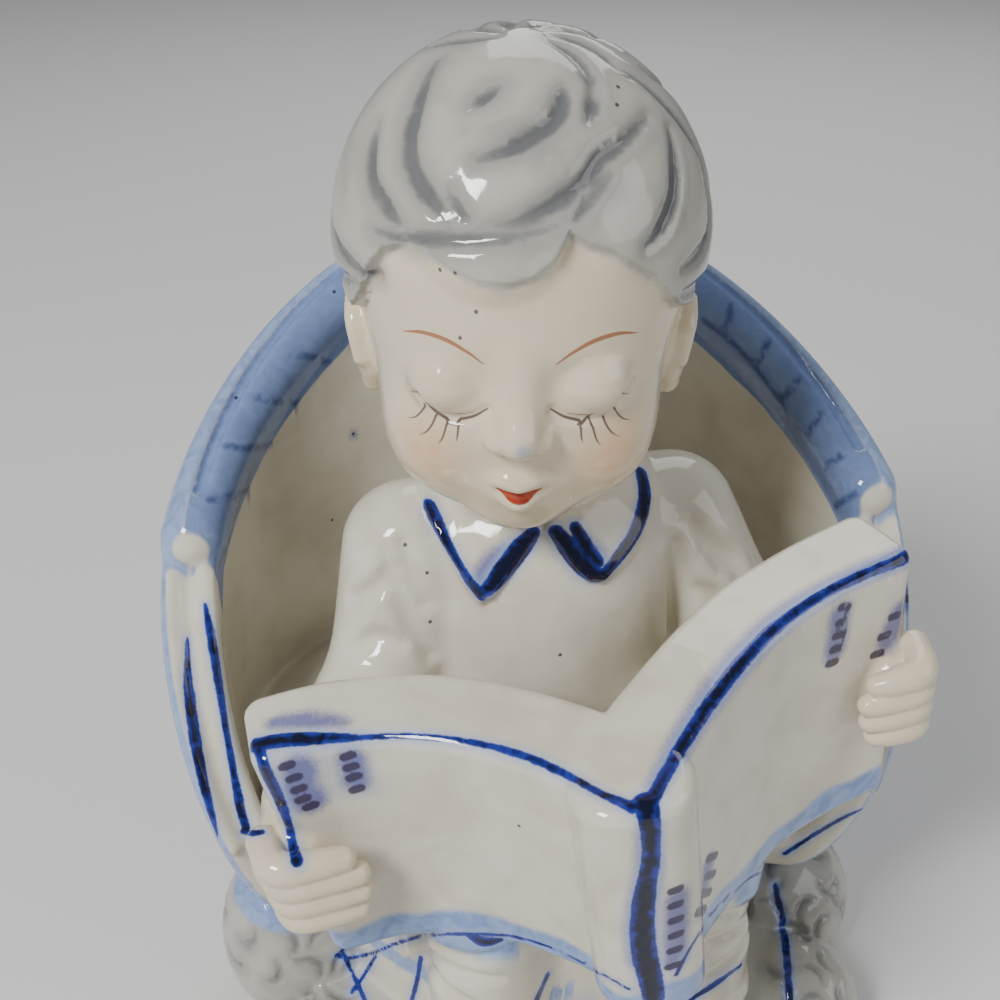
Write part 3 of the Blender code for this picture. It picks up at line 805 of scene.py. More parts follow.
def hair_angles(x, y, z):
    """Bearing and height of a point seen from the middle of the hair, in degrees."""
    axes = HEAD_AXES
    x, y, z = (v - REAL(c) for v, c in zip((x, y, z), HEAD_ORIGIN))
    u, v, w = (
        (x * REAL(axes[0, i]) + y * REAL(axes[1, i]) + z * REAL(axes[2, i]) - REAL(HAIR_CENTRE[i]))
        / REAL(HAIR_RADII[i])
        for i in range(3)
    )
    far = np.sqrt(u * u + v * v + w * w) + REAL(1e-6)
    return np.degrees(np.arctan2(u, -v)), np.degrees(np.arcsin(np.clip(w / far, -1, 1))), far


def hair_cover(x, y, z):
    """How far a point is above the hair's lower edge, in millimetres along the head."""
    bearing, height, _ = hair_angles(x, y, z)
    edge = np.array(HAIRLINE, float)
    return ((height - np.interp(bearing, edge[:, 0], edge[:, 1])) * radians(1) * 22).astype(REAL)


def hair_swell(x, y, z):
    cover = np.clip(hair_cover(x, y, z) / 1.5, 0, 1)
    _, _, far = hair_angles(x, y, z)
    on_the_head = np.clip((far - REAL(0.55)) * 4, 0, 1) * np.clip((REAL(1.25) - far) * 6, 0, 1)
    return (cover * cover * (3 - 2 * cover) * HAIR_THICKNESS * on_the_head).astype(REAL)


# Raised locks: points as (bearing, height), thickness and how far they stand out
LOCKS = [
    ([(10, 26), (2, 14), (-12, 12), (-26, 16), (-38, 22)], 3.4, 0.2),
    ([(34, 30), (24, 24), (20, 20)], 2.4, -0.6),
    ([(58, 38), (40, 28), (30, 20), (36, 12), (46, 4)], 3.2, -0.4),
    ([(74, 34), (66, 20), (56, 6), (52, -4)], 3.0, -0.6),
    ([(86, 30), (82, 14), (72, 0), (62, -8)], 3.0, -0.6),
    ([(-50, 40), (-44, 26), (-34, 20), (-22, 20)], 2.8, -0.6),
    ([(-66, 34), (-60, 22), (-50, 12), (-42, 10)], 3.0, -0.6),
    ([(-84, 30), (-78, 14), (-70, 2), (-60, -6)], 3.0, -0.7),
]

GROOVE_SCALE = 0.8

# Carved grooves: (bearing, height) and half a width
GROOVES = [
    ([(-82, 64), (-58, 52), (-47, 40), (-39, 34), (-29, 29), (-22, 25)], 1.0),
    ([(-70, 38), (-66, 34), (-57, 27), (-46, 23), (-38, 20)], 0.9),
    ([(-16, 65), (-27, 57)], 0.8),
    ([(28, 63), (24, 60), (16, 54), (5, 50), (-5, 46), (-17, 42)], 1.0),
    ([(47, 59), (32, 52)], 0.8),
    ([(62, 45), (44, 43), (31, 41), (23, 36), (13, 32), (0, 27), (-11, 24)], 1.0),
    ([(33, 36), (22, 31), (16, 26)], 0.8),
    ([(70, 38), (63, 31), (56, 24), (47, 18), (39, 15)], 0.9),
    ([(80, 20), (76, 7), (67, 3), (53, 4)], 0.8),
    ([(84, 0), (76, -9), (66, -8), (54, -5)], 0.7),
    ([(-90, 12), (-82, 4), (-69, 2), (-49, 2)], 0.8),
    ([(-84, -4), (-77, -8), (-66, -6), (-56, -2)], 0.7),
    ([(-24, 33), (-20, 28), (-16, 26)], 0.7),
    ([(-49, 16), (-37, 17), (-25, 20), (-12, 22), (0, 24), (12, 26)], 0.8),
]


def back_grooves():
    """Locks of the back of the head fall from the crown to the nape in a loose whorl."""
    lines = []
    for i in range(12):
        bearing = 98 + 164 * i / 11
        high = 62 - 12 * (i % 3)
        low = -22 + 8 * (i % 2)
        line = []
        for share in np.linspace(0, 1, 6):
            bend = 14 * sin(share * pi) * (1 if i % 2 else -0.6)
            line.append((bearing - 16 * (1 - share) + bend * 0.5, high + (low - high) * share))
        lines.append((line, 0.95))
    for i in range(7):
        bearing = 70 + 200 * i / 6
        line = [(bearing - 26 * s, 82 - 24 * s) for s in np.linspace(0, 1, 5)]
        lines.append((line, 0.7))
    return lines


def hair():
    low, high = HEAD_ORIGIN - 33, HEAD_ORIGIN + 36
    add(head_ball((0, 4.0, 6.4), (20.6, 21.6, 20.6)), 2.0, "hair")
    swell(low, high, hair_swell)
    for line, thick, lift in LOCKS:
        points = [on_hair(bearing, height, lift - thick) for bearing, height in line]
        shares = np.sin(np.linspace(0.25, pi - 0.25, len(line))) ** 0.5
        add(Tube(points, thick * shares), 1.3, "hair")
    lines, widths = [], []
    for line, wide in GROOVES + back_grooves():
        path = smooth_path([on_hair(*mark) for mark in line], 3)
        shares = np.clip(np.sin(np.linspace(0.12, pi - 0.12, len(path))) * 1.3, 0.2, 1)
        lines.append(path)
        widths.append(wide * GROOVE_SCALE * shares)
    grooves = [Tube(line, wide, 1) for line, wide in zip(laid(lines), widths)]
    for groove in grooves:
        cut(groove, 1.5)
    return grooves


def ears():
    for side in (-1, 1):
        add(head_ball((side * 18.4, 0.2, -8.6), (2.4, 4.2, 6.0)), 1.4, "skin")
        rim = [
            on_head(side * 19.6, -3.4, -8.8),
            on_head(side * 20.1, -2.4, -4.4),
            on_head(side * 20.4, 1.2, -3.2),
            on_head(side * 20.3, 3.6, -6.4),
            on_head(side * 19.5, 2.4, -11.5),
            on_head(side * 18.4, -0.6, -13.6),
        ]
        add(Tube(rim, [0.9, 1.2, 1.3, 1.3, 1.3, 1.5]), 0.9, "skin")
        cut(head_ball((side * 21.9, 0.4, -7.0), (1.9, 2.4, 3.6)), 1.2)


def face():
    """A doll's face: lids at a third of the head's height, nose just below, mouth at a fifth."""
    for side in (-1, 1):
        cut(head_ball((side * 7.6, -24.2, -2.4), (6.6, 5.0, 4.6)), 2.4)
        add(head_ball((side * 7.8, -15.3, -3.4), (5.0, 4.9, 4.4)), 1.0, "skin")
    bridge = [on_head(0, -18.6, 1.0), on_head(0, -19.9, -3.6), on_head(0, -22.2, -7.6)]
    add(Tube(bridge, [1.5, 1.8, 2.4]), 2.4, "skin")
    for side in (-1, 1):
        add(head_ball((side * 2.5, -20.8, -8.6), (1.6, 1.9, 1.5)), 0.9, "skin")
    add(head_ball((0, -16.6, -15.6), (5.2, 3.9, 4.4)), 2.4, "skin")
    for side in (1, -1):
        lip = [
            on_head(side * 3.45, -19.0, -15.3),
            on_head(side * 1.5, -20.4, -14.6),
            on_head(side * 0.15, -20.6, -15.0),
        ]
        add(Tube(lip, [0.5, 1.05, 1.05]), 1.0, "skin")
    lower = [on_head(-2.4, -19.4, -16.9), on_head(0, -20.5, -17.6), on_head(2.4, -19.4, -16.9)]
    add(Tube(lower, [0.7, 1.3, 0.7]), 1.0, "skin")
    for side in (-1, 1):
        cut(Tube(snapped(lid_line(side)), 0.4), 0.9)


def lid_line(side):
    """The closed eyelid's edge, from the nose outwards."""
    return [
        on_head(side * x, -19.6 + abs(x - 7.5) * 0.2, z)
        for x, z in ((3.2, -5.4), (5.2, -6.5), (7.8, -6.9), (10.2, -6.2), (12.2, -4.6))
    ]


def cast():
    """Puts the whole casting together: returns the grooves of the hair and of the foliage."""
    chair()
    foliage = curls(mound())
    torso()
    legs()
    arms()
    swell((-24, -26, 70), (22, 8, 100), collar_swell)
    for fold in drawn(FOLDS):
        cut(fold, 2.2)
    skull()
    locks = hair()
    ears()
    face()
    add(Newspaper(), 1.0, "paper")
    hands()
    return locks, foliage


# Painting. Strokes are points in the picture, then half-widths in millimetres

COBALT = [
    # Top edge of the page at the boy's right, from its outer corner to the fold
    ([(254, 745), (275, 741), (305, 738), (335, 738), (360, 738)], (1.0, 1.2, 1.0, 0.7, 0.4)),
    ([(350, 738), (400, 736), (450, 739), (490, 746), (530, 758), (565, 774), (600, 793), (632, 807)],
     (0.35, 0.35, 0.4, 0.42, 0.5, 0.5, 0.5, 0.8)),
    ([(258, 748), (267, 775), (279, 800), (288, 824), (293, 845), (297, 861)],
     (0.7, 0.9, 0.8, 0.6, 0.6, 0.8)),
    # The fold
    ([(646, 803), (650, 825), (651, 855), (646, 885), (643, 915), (644, 950), (652, 985), (654, 999)],
     (1.5, 1.2, 1.1, 1.3, 1.5, 1.6, 1.5, 1.4)),
    # The band along the top of the page at the boy's left
    ([(651, 802), (672, 763), (700, 718), (733, 672), (772, 630), (815, 599), (858, 577),
      (900, 560), (925, 545)],
     (0.9, 0.8, 0.85, 0.95, 0.85, 0.7, 0.7, 0.8, 1.0)),
    # The thin line along the bottom edges
    ([(336, 955), (352, 958), (375, 952), (398, 943), (427, 935), (468, 934), (509, 936),
      (546, 946), (583, 963), (629, 989)],
     (0.35, 0.3, 0.25, 0.3, 0.3, 0.3, 0.3, 0.3, 0.3, 0.3)),
    ([(470, 937), (484, 942), (500, 940)], (0.5, 1.0, 0.5)),
    ([(676, 975), (692, 945), (720, 904), (770, 864), (830, 825), (862, 809), (888, 796)], 0.35),
    # Collar: outer edges, then the thick strokes at its points
    ([(428, 505), (435, 520), (445, 541), (457, 562), (469, 582), (480, 595)],
     (1.0, 1.0, 0.8, 0.7, 0.8, 0.9)),
    ([(487, 590), (499, 577), (511, 562), (523, 547), (534, 534)], (0.9, 1.3, 1.5, 1.5, 1.0)),
    ([(641, 472), (644, 485), (645, 500), (642, 515), (636, 531), (627, 546), (616, 560), (607, 571)],
     (1.0, 1.1, 1.2, 1.2, 1.1, 1.0, 0.9, 0.8)),
    ([(556, 533), (569, 550), (584, 568), (598, 577), (610, 570)], (1.1, 1.5, 1.5, 1.2, 0.7)),
    ([(576, 528), (585, 545), (598, 562)], (0.9, 1.0, 0.9)),
    # Arm front: one stroke along its outer side, one along its inner ridge, and its foot
    ([(187, 638), (188, 680), (193, 722), (200, 765), (209, 805), (218, 838)],
     (0.2, 0.7, 0.9, 0.8, 0.6, 0.2)),
    ([(205, 605), (212, 640), (220, 690), (227, 735), (234, 775), (240, 805), (246, 828)],
     (0.3, 0.7, 0.6, 0.5, 0.6, 0.7, 0.6)),
    ([(243, 831), (252, 833), (262, 832)], 0.45),
    # Lines on the seat's front, and strokes on the trousers
    ([(342, 950), (352, 972), (365, 1000)], 0.35),
    ([(376, 955), (366, 972), (352, 992)], 0.35),
    ([(421, 958), (417, 980), (412, 1000)], 0.4),
    ([(546, 978), (541, 990), (536, 1002)], 0.9),
    ([(775, 885), (781, 915), (786, 950), (790, 1000)], (0.4, 0.6, 0.6, 0.6)),
    ([(741, 965), (718, 982), (690, 1000)], (0.3, 0.6, 0.4)),
]

# Short dabs instead of print: the middle of each, in rows, and how a dab runs from there
DABS = [
    [(287, 766), (294, 778), (299, 789), (303, 799), (311, 806)],
    [(348, 756), (351, 767), (354, 777), (357, 789)],
    [(845, 606), (842, 622), (839, 635), (836, 649), (832, 663)],
    [(917, 578), (909, 598), (895, 616), (884, 636), (877, 654)],
    [(676, 890), (676, 905), (676, 920), (676, 935), (675, 950), (673, 966)],
    [(712, 857), (710, 875), (706, 893), (701, 911)],
]
DAB_REACH, DAB_RISE, DAB_HALF_WIDTH = 4.0, 1.4, 0.62

# Paler strokes across the chair's inner band, and its lower edge
HATCHES = [
    ([(292, 354), (315, 358), (338, 366)], 0.5),
    ([(256, 397), (282, 402), (308, 403)], 0.5),
    ([(226, 446), (252, 448), (280, 443)], 0.5),
    ([(209, 500), (233, 496), (257, 485)], 0.5),
    ([(731, 306), (729, 318), (726, 331)], 0.55),
    ([(768, 341), (764, 351), (758, 362)], 0.55),
    ([(798, 378), (791, 389), (782, 400)], 0.55),
    ([(820, 414), (814, 424), (807, 435)], 0.5),
    ([(842, 455), (833, 461), (824, 468)], 0.55),
    ([(855, 494), (845, 500), (834, 507)], 0.55),
    ([(702, 320), (725, 336), (751, 362), (778, 399), (792, 422), (808, 440)], 0.45),
    ([(349, 357), (330, 378), (310, 405), (285, 445), (262, 487), (245, 525), (236, 550)], 0.35),
]

# Soft blue smears beside the thick strokes
SMEARS = [
    ([(474, 588), (484, 574), (500, 556), (512, 545)], (1.0, 1.5, 1.5, 0.6)),
    ([(580, 540), (596, 553), (606, 560)], (0.9, 1.3, 0.8)),
    ([(275, 722), (310, 720), (345, 722)], (1.2, 1.6, 0.8)),
    ([(655, 786), (676, 750), (702, 708), (735, 665), (774, 624), (817, 594), (860, 572),
      (902, 556), (926, 542)],
     (1.0, 1.4, 1.7, 1.9, 1.8, 1.6, 1.5, 1.5, 1.5)),
    ([(648, 830), (649, 870), (642, 920), (643, 960)], (1.2, 1.6, 1.8, 1.8)),
    ([(300, 770), (300, 790), (310, 800)], 2.2),
    ([(352, 760), (356, 780)], 1.8),
    ([(840, 615), (835, 650)], 2.0),
    ([(912, 585), (888, 640)], 2.0),
    ([(678, 900), (676, 960)], 1.8),
    ([(708, 865), (702, 905)], 1.6),
    ([(353, 434), (354, 435)], 0.5),
]

# Dark specks in the glaze, and how wide they are
SPECKS = [
    (476, 312), (460, 338), (440, 270), (455, 273), (618, 87), (617, 105), (353, 434), (334, 292),
    (405, 545), (427, 573), (519, 826), (430, 622), (560, 655), (236, 398), (332, 520),
]
SPECK_HALF_WIDTH = 0.22


def lashes(side):
    """Fine lashes that fan out and down from the closed lid, and the double line of the lid."""
    lid = lid_line(side)
    lines = [(lid, [0.1, 0.17, 0.2, 0.2, 0.14])]
    fold = [point + np.array([0, 0, 0.75]) for point in lid[1:]]
    lines.append((fold, [0.05, 0.1, 0.1, 0.05]))
    for x, z, out, drop in LASHES:
        root = on_head(side * x, -19.6, z)
        middle = on_head(side * (x + out * 0.55), -19.2, z - drop * 0.7)
        tip = on_head(side * (x + out), -18.6, z - drop)
        lines.append(([root, middle, tip], [0.15, 0.11, 0.04]))
    return lines


# Each lash: its root's place on the lid, then how far out and down it reaches
LASHES = [
    (6.8, -6.9, 0.1, 2.8),
    (8.2, -6.9, 0.9, 3.6),
    (9.6, -6.5, 2.2, 3.4),
    (10.8, -5.8, 3.6, 2.2),
    (12.0, -4.8, 3.6, 0.2),
]

# The brow, from the nose outwards, and the mouth's red
BROW = [(4.0, 0.6), (5.6, 1.8), (7.8, 2.7), (10.0, 2.7), (11.8, 1.8)]
BROW_HALF_WIDTHS = [0.08, 0.2, 0.28, 0.24, 0.08]
MOUTH = [(-2.7, -15.7), (-1.3, -16.0), (0, -16.3), (1.3, -16.0), (2.7, -15.7)]
MOUTH_HALF_WIDTHS = [0.2, 0.65, 0.95, 0.65, 0.2]


def on_the_head(lines):
    """Tubes on the surface along lines given near it, with half-widths."""
    paths = [smooth_path(np.column_stack([points, wide]), 5) for points, wide in lines]
    places = laid([path[:, :3] for path in paths])
    return [Tube(line, path[:, 3], 1) for line, path in zip(places, paths)]


def dabs():
    """The rows of dabs stand for the lines of print."""
    strokes = []
    for u, v in [mark for row in DABS for mark in row]:
        ends = [(u - DAB_REACH, v + DAB_RISE), (u + DAB_REACH, v - DAB_RISE)]
        strokes.append((ends, DAB_HALF_WIDTH))
    return drawn(strokes)


def inks():
    """Every painted stroke, by the name of its ink."""
    specks, found = seen(SPECKS)
    lash, brow = [], []
    for side in (-1, 1):
        lash += on_the_head(lashes(side))
        points = [on_head(side * x, -20.5 + 0.05 * x * x, z) for x, z in BROW]
        brow += on_the_head([(points, BROW_HALF_WIDTHS)])
    mouth = [on_head(x, -21.0, z) for x, z in MOUTH]
    return {
        "cobalt": drawn(COBALT),
        "dab": dabs(),
        "hatch": drawn(HATCHES),
        "smear": drawn(SMEARS),
        "speck": [Tube([point, point + 0.05], SPECK_HALF_WIDTH, 1) for point in specks[found]],
        "lash": lash,
        "brow": brow,
        "lips": on_the_head([(mouth, MOUTH_HALF_WIDTHS)]),
    }


def stroke_gap(places, tubes):
    """Distance of each place to the nearest of the tubes."""
    cloud = Cloud(places.astype(REAL))
    nearest = np.full(len(places), FAR, REAL)
    for tube in tubes:
        key, close = cloud.near(tube.low - REACH, tube.high + REACH)
        if len(key):
            nearest[key] = np.minimum(nearest[key], tube.distance(close))
    return nearest


def forms_of(*parts):
    return [form for how, form, _, name in STEPS if how == "add" and name in parts]


def ramp(value, start, end):
    """Rises smoothly from 0 at start to 1 at end."""
    t = np.clip((value - start) / (end - start), 0, 1)
    return t * t * (3 - 2 * t)


CHEEK, CHEEK_REACH, CHEEK_BLUSH = (9.8, -16.8, -11.8), 6.8, 0.95
NOSE_TIP = (0.4, -24.4, -7.6)
BAND_DEPTH, BAND_END = 7.5, 84.0
FOOT_BAND = 5.5
FOLIAGE_PALER = 0.25
ABOVE_CHAIR = ("hand", "shirt", "trousers", "shoe", "paper", "skin")


def washes(places):
    """Soft colours at each place by name: shares from 0 to 1, foot and below in millimetres."""
    x, y, z = places.T
    hand, shoe, ground, other = (
        stroke_gap(places, forms_of(*parts)) for parts in (("hand",), ("shoe",), ("mound",), ABOVE_CHAIR)
    )
    gap, angle = chair_gap(x, y, z), np.abs(chair_angle(x, y))
    on_shell = ramp(gap, -9.6, -8.9) * ramp(z, 20, 22) * ramp(other, 0.1, 0.6)
    below = rim_height(angle) - z
    back = 1 - ramp(angle, BAND_END - 0.6, BAND_END + 0.6)
    inner = 1 - ramp(gap, -4.6, -3.8)
    outer = ramp(gap, -4.6, -3.8) * back + ramp(gap, -1.4, -0.6) * (1 - back)
    u, v, w = ((places - PAPER_ORIGIN) @ PAPER_AXES).T
    share = 1 + (1 - PAPER_NARROWING) * w / PAPER_HEIGHT
    line = smooth_path(PAPER_LINE, 8)
    front = 1 - ramp(v / share - np.interp(u / share, line[:, 0], line[:, 1]), 1.2, 2.4)
    on_page = front * ramp(hand, 0.3, 0.7) * ramp(w, -48, -46) * ramp(v, -3, -2)
    wavy = FOOT_BAND + 0.8 * np.sin(u * 0.23) + 0.5 * np.sin(u * 0.61 + 1)
    foot = w + page_height(u / share) - wavy
    tint = ramp(u, -42, -39) * (1 - ramp(u, -28.5, -26)) * ramp(w, -10.5, -8.5) * 0.35
    page = ramp(z, 36, 38) * on_page
    covered = ramp(hair_cover(x, y, z), -0.2, 0.9)
    _, _, far = hair_angles(x, y, z)
    haired = covered * ramp(far, 0.7, 0.8) * (1 - ramp(far, 1.3, 1.35))
    head = (places - HEAD_ORIGIN) @ HEAD_AXES
    blush = 0
    for cheek in (CHEEK, (-CHEEK[0], *CHEEK[1:])):
        away = np.linalg.norm(head - cheek, axis=1)
        blush = blush + CHEEK_BLUSH * (1 - ramp(away, 1.0, CHEEK_REACH))
    nose = 1 - ramp(np.linalg.norm(head - NOSE_TIP, axis=1), 0.3, 1.3)
    in_head = 1 - ramp(np.linalg.norm(places - HEAD_ORIGIN, axis=1), 30.5, 31.5)
    skin = np.maximum((1 - covered) * in_head, 1 - ramp(hand, 0.2, 0.6))
    return {
        "wash": on_shell * outer,
        "page": page,
        "foot": foot,
        "band": on_shell * inner * back,
        "below": below,
        "shoe": 1 - ramp(shoe, 0.1, 0.5),
        "tint": np.maximum(page * tint, nose * 0.6),
        "grey": np.maximum(haired, 1 - ramp(ground, 0.3, 0.9)),
        "blush": blush,
        "skin": skin,
    }


# Surface


def surface_net(field, low, step):
    """A closed mesh of quads where the field is zero: (points, quads)."""
    inside = field < 0
    nx, ny, nz = field.shape
    offsets = [(a, b, c) for a in (0, 1) for b in (0, 1) for c in (0, 1)]
    count = np.zeros((nx - 1, ny - 1, nz - 1), np.int8)
    for a, b, c in offsets:
        count += inside[a : nx - 1 + a, b : ny - 1 + b, c : nz - 1 + c]
    mixed = (count > 0) & (count < 8)
    cells = np.argwhere(mixed)
    values = [field[cells[:, 0] + a, cells[:, 1] + b, cells[:, 2] + c] for a, b, c in offsets]
    total = np.zeros((len(cells), 3), np.float64)
    hits = np.zeros(len(cells))
    for i, first in enumerate(offsets):
        for j, second in enumerate(offsets):
            if j <= i or sum(abs(p - q) for p, q in zip(first, second)) != 1:
                continue
            va, vb = values[i], values[j]
            crossing = (va < 0) != (vb < 0)
            t = va[crossing] / (va[crossing] - vb[crossing])
            start, way = np.array(first, float), np.array(second, float) - first
            total[crossing] += start + t[:, None] * way
            hits[crossing] += 1
    points = (cells + total / hits[:, None]) * step + low
    index = np.full(mixed.shape, -1, np.int32)
    index[mixed] = np.arange(len(cells))
    quads = []
    for axis in range(3):
        first = [slice(None)] * 3
        second = [slice(None)] * 3
        first[axis], second[axis] = slice(0, -1), slice(1, None)
        here = inside[tuple(first)]
        edges = np.argwhere(here != inside[tuple(second)])
        u, v = (axis + 1) % 3, (axis + 2) % 3
        top = np.array(mixed.shape)
        fits = (edges[:, u] > 0) & (edges[:, v] > 0) & (edges[:, u] < top[u]) & (edges[:, v] < top[v])
        edges = edges[fits]
        outward = here[tuple(edges.T)]
        ring = []
        for a, b in ((-1, -1), (0, -1), (0, 0), (-1, 0)):
            cell = edges.copy()
            cell[:, u] += a
            cell[:, v] += b
            ring.append(index[tuple(cell.T)])
        ring = np.stack(ring, axis=1)
        quads.append(np.where(outward[:, None], ring, ring[:, ::-1]))
    return points, np.vstack(quads)


def mesh_from(name, points, faces):
    mesh = bpy.data.meshes.new(name)
    mesh.vertices.add(len(points))
    mesh.vertices.foreach_set("co", (points * MM).astype(REAL).ravel())
    sides = faces.shape[1]
    mesh.loops.add(faces.size)
    mesh.loops.foreach_set("vertex_index", faces.astype(np.int32).ravel())
    mesh.polygons.add(len(faces))
    mesh.polygons.foreach_set("loop_start", np.arange(0, faces.size, sides, dtype=np.int32))
    mesh.update()
    mesh.validate()
    return mesh


def vertex_places(mesh):
    flat = np.empty(len(mesh.vertices) * 3, REAL)
    mesh.vertices.foreach_get("co", flat)
    return flat.reshape(-1, 3).astype(float) / MM


def refine(mesh, tubes, shortest):
    """Splits the edges that strokes pass close by, until they are short enough to carry them."""
    cage = bmesh.new()
    cage.from_mesh(mesh)
    for _ in range(REFINE_ROUNDS):
        cage.verts.index_update()
        gap = stroke_gap(np.array([vert.co for vert in cage.verts]) / MM, tubes)
        long = []
        for edge in cage.edges:
            length = edge.calc_length() / MM
            near = min(gap[edge.verts[0].index], gap[edge.verts[1].index])
            if length > shortest and near < length * CLOSE_SHARE + CLOSE_MARGIN:
                long.append(edge)
        if not long:
            break
        bmesh.ops.subdivide_edges(cage, edges=long, cuts=1)
        bmesh.ops.triangulate(cage, faces=[face for face in cage.faces if len(face.verts) > 3])
    cage.to_mesh(mesh)
    cage.free()


# Material: the mesh's stored paint turned into coats


class Glaze:
    """A glazed material, painted coat by coat."""

    def __init__(self, name):
        self.material = bpy.data.materials.new(name)
        self.material.use_nodes = True
        self.tree = self.material.node_tree
        self.shader = self.tree.nodes["Principled BSDF"]
        self.places = self.node("ShaderNodeTexCoord").outputs["Object"]
        self.colour = None

    def node(self, kind, *values, **settings):
        """A node with its settings, and a value or a link for each of its first inputs."""
        node = self.tree.nodes.new(kind)
        for name, value in settings.items():
            setattr(node, name, value)
        for socket, value in zip(node.inputs, values):
            self.feed(socket, value)
        return node

    def feed(self, socket, value):
        if isinstance(value, bpy.types.NodeSocket):
            self.tree.links.new(value, socket)
        else:
            socket.default_value = value

    def combined(self, operation, a, b):
        return self.node("ShaderNodeMath", a, b, operation=operation).outputs[0]

    def plus(self, a, b):
        return self.combined("ADD", a, b)

    def times(self, a, b):
        return self.combined("MULTIPLY", a, b)

    def value(self, name):
        """What the mesh stores at each of its points."""
        return self.node("ShaderNodeAttribute", attribute_name=name).outputs["Fac"]

    def noise(self, grain, detail, distortion=0.0):
        """Noise from -0.5 to 0.5, with its grain in millimetres."""
        node = self.node("ShaderNodeTexNoise", self.places)
        node.inputs["Scale"].default_value = 1 / (grain * MM)
        node.inputs["Detail"].default_value = detail
        node.inputs["Distortion"].default_value = distortion
        return self.combined("SUBTRACT", node.outputs["Fac"], 0.5)

    def spread(self, value, start, end):
        """Rises smoothly from 0 at start to 1 at end."""
        return self.node(
            "ShaderNodeMapRange", value, start, end, 0.0, 1.0, interpolation_type="SMOOTHSTEP"
        ).outputs[0]

    def covered(self, below, colour, share):
        """The colour below, covered with another one by a share."""
        node = self.node("ShaderNodeMix", data_type="RGBA")
        self.feed(node.inputs[0], share)
        for index, value in ((6, below), (7, colour)):
            self.feed(node.inputs[index], (*value, 1) if isinstance(value, tuple) else value)
        return node.outputs[2]

    def paint(self, colour, share, strength=1.0):
        """One more coat over what is there."""
        share = share if strength == 1.0 else self.times(share, strength)
        self.colour = self.covered(self.colour, colour, share)


PORCELAIN, PORCELAIN_DEEP = (0.68, 0.645, 0.535), (0.60, 0.555, 0.445)
SKIN, BLUSH = (0.70, 0.575, 0.375), (0.66, 0.29, 0.11)
# The deeper hair grey also darkens the hair beside its grooves as painted shade, and the last colour goes
# along the grooves' middles
HAIR_GREY, HAIR_DEEP, GROOVE_DARK = (0.43, 0.42, 0.37), (0.26, 0.255, 0.235), (0.06, 0.065, 0.08)
WASH, WASH_DEEP = (0.26, 0.37, 0.61), (0.17, 0.26, 0.50)
BAND, BAND_DEEP = (0.13, 0.20, 0.42), (0.05, 0.08, 0.23)
HALO, COBALT_THIN, COBALT_DEEP = (0.30, 0.40, 0.66), (0.018, 0.035, 0.30), (0.003, 0.004, 0.022)
LASH_BROWN, BROW_BROWN = (0.075, 0.035, 0.028), (0.33, 0.105, 0.025)
RED, RED_DEEP = (0.50, 0.055, 0.012), (0.22, 0.02, 0.008)
BLACK, DARK_PURPLE = (0.012, 0.012, 0.02), (0.022, 0.012, 0.055)
GLAZE_ROUGHNESS, GLAZE_IOR = 0.085, 1.52
GLAZE_UNEVEN, GLAZE_RELIEF = 0.35, 1.1


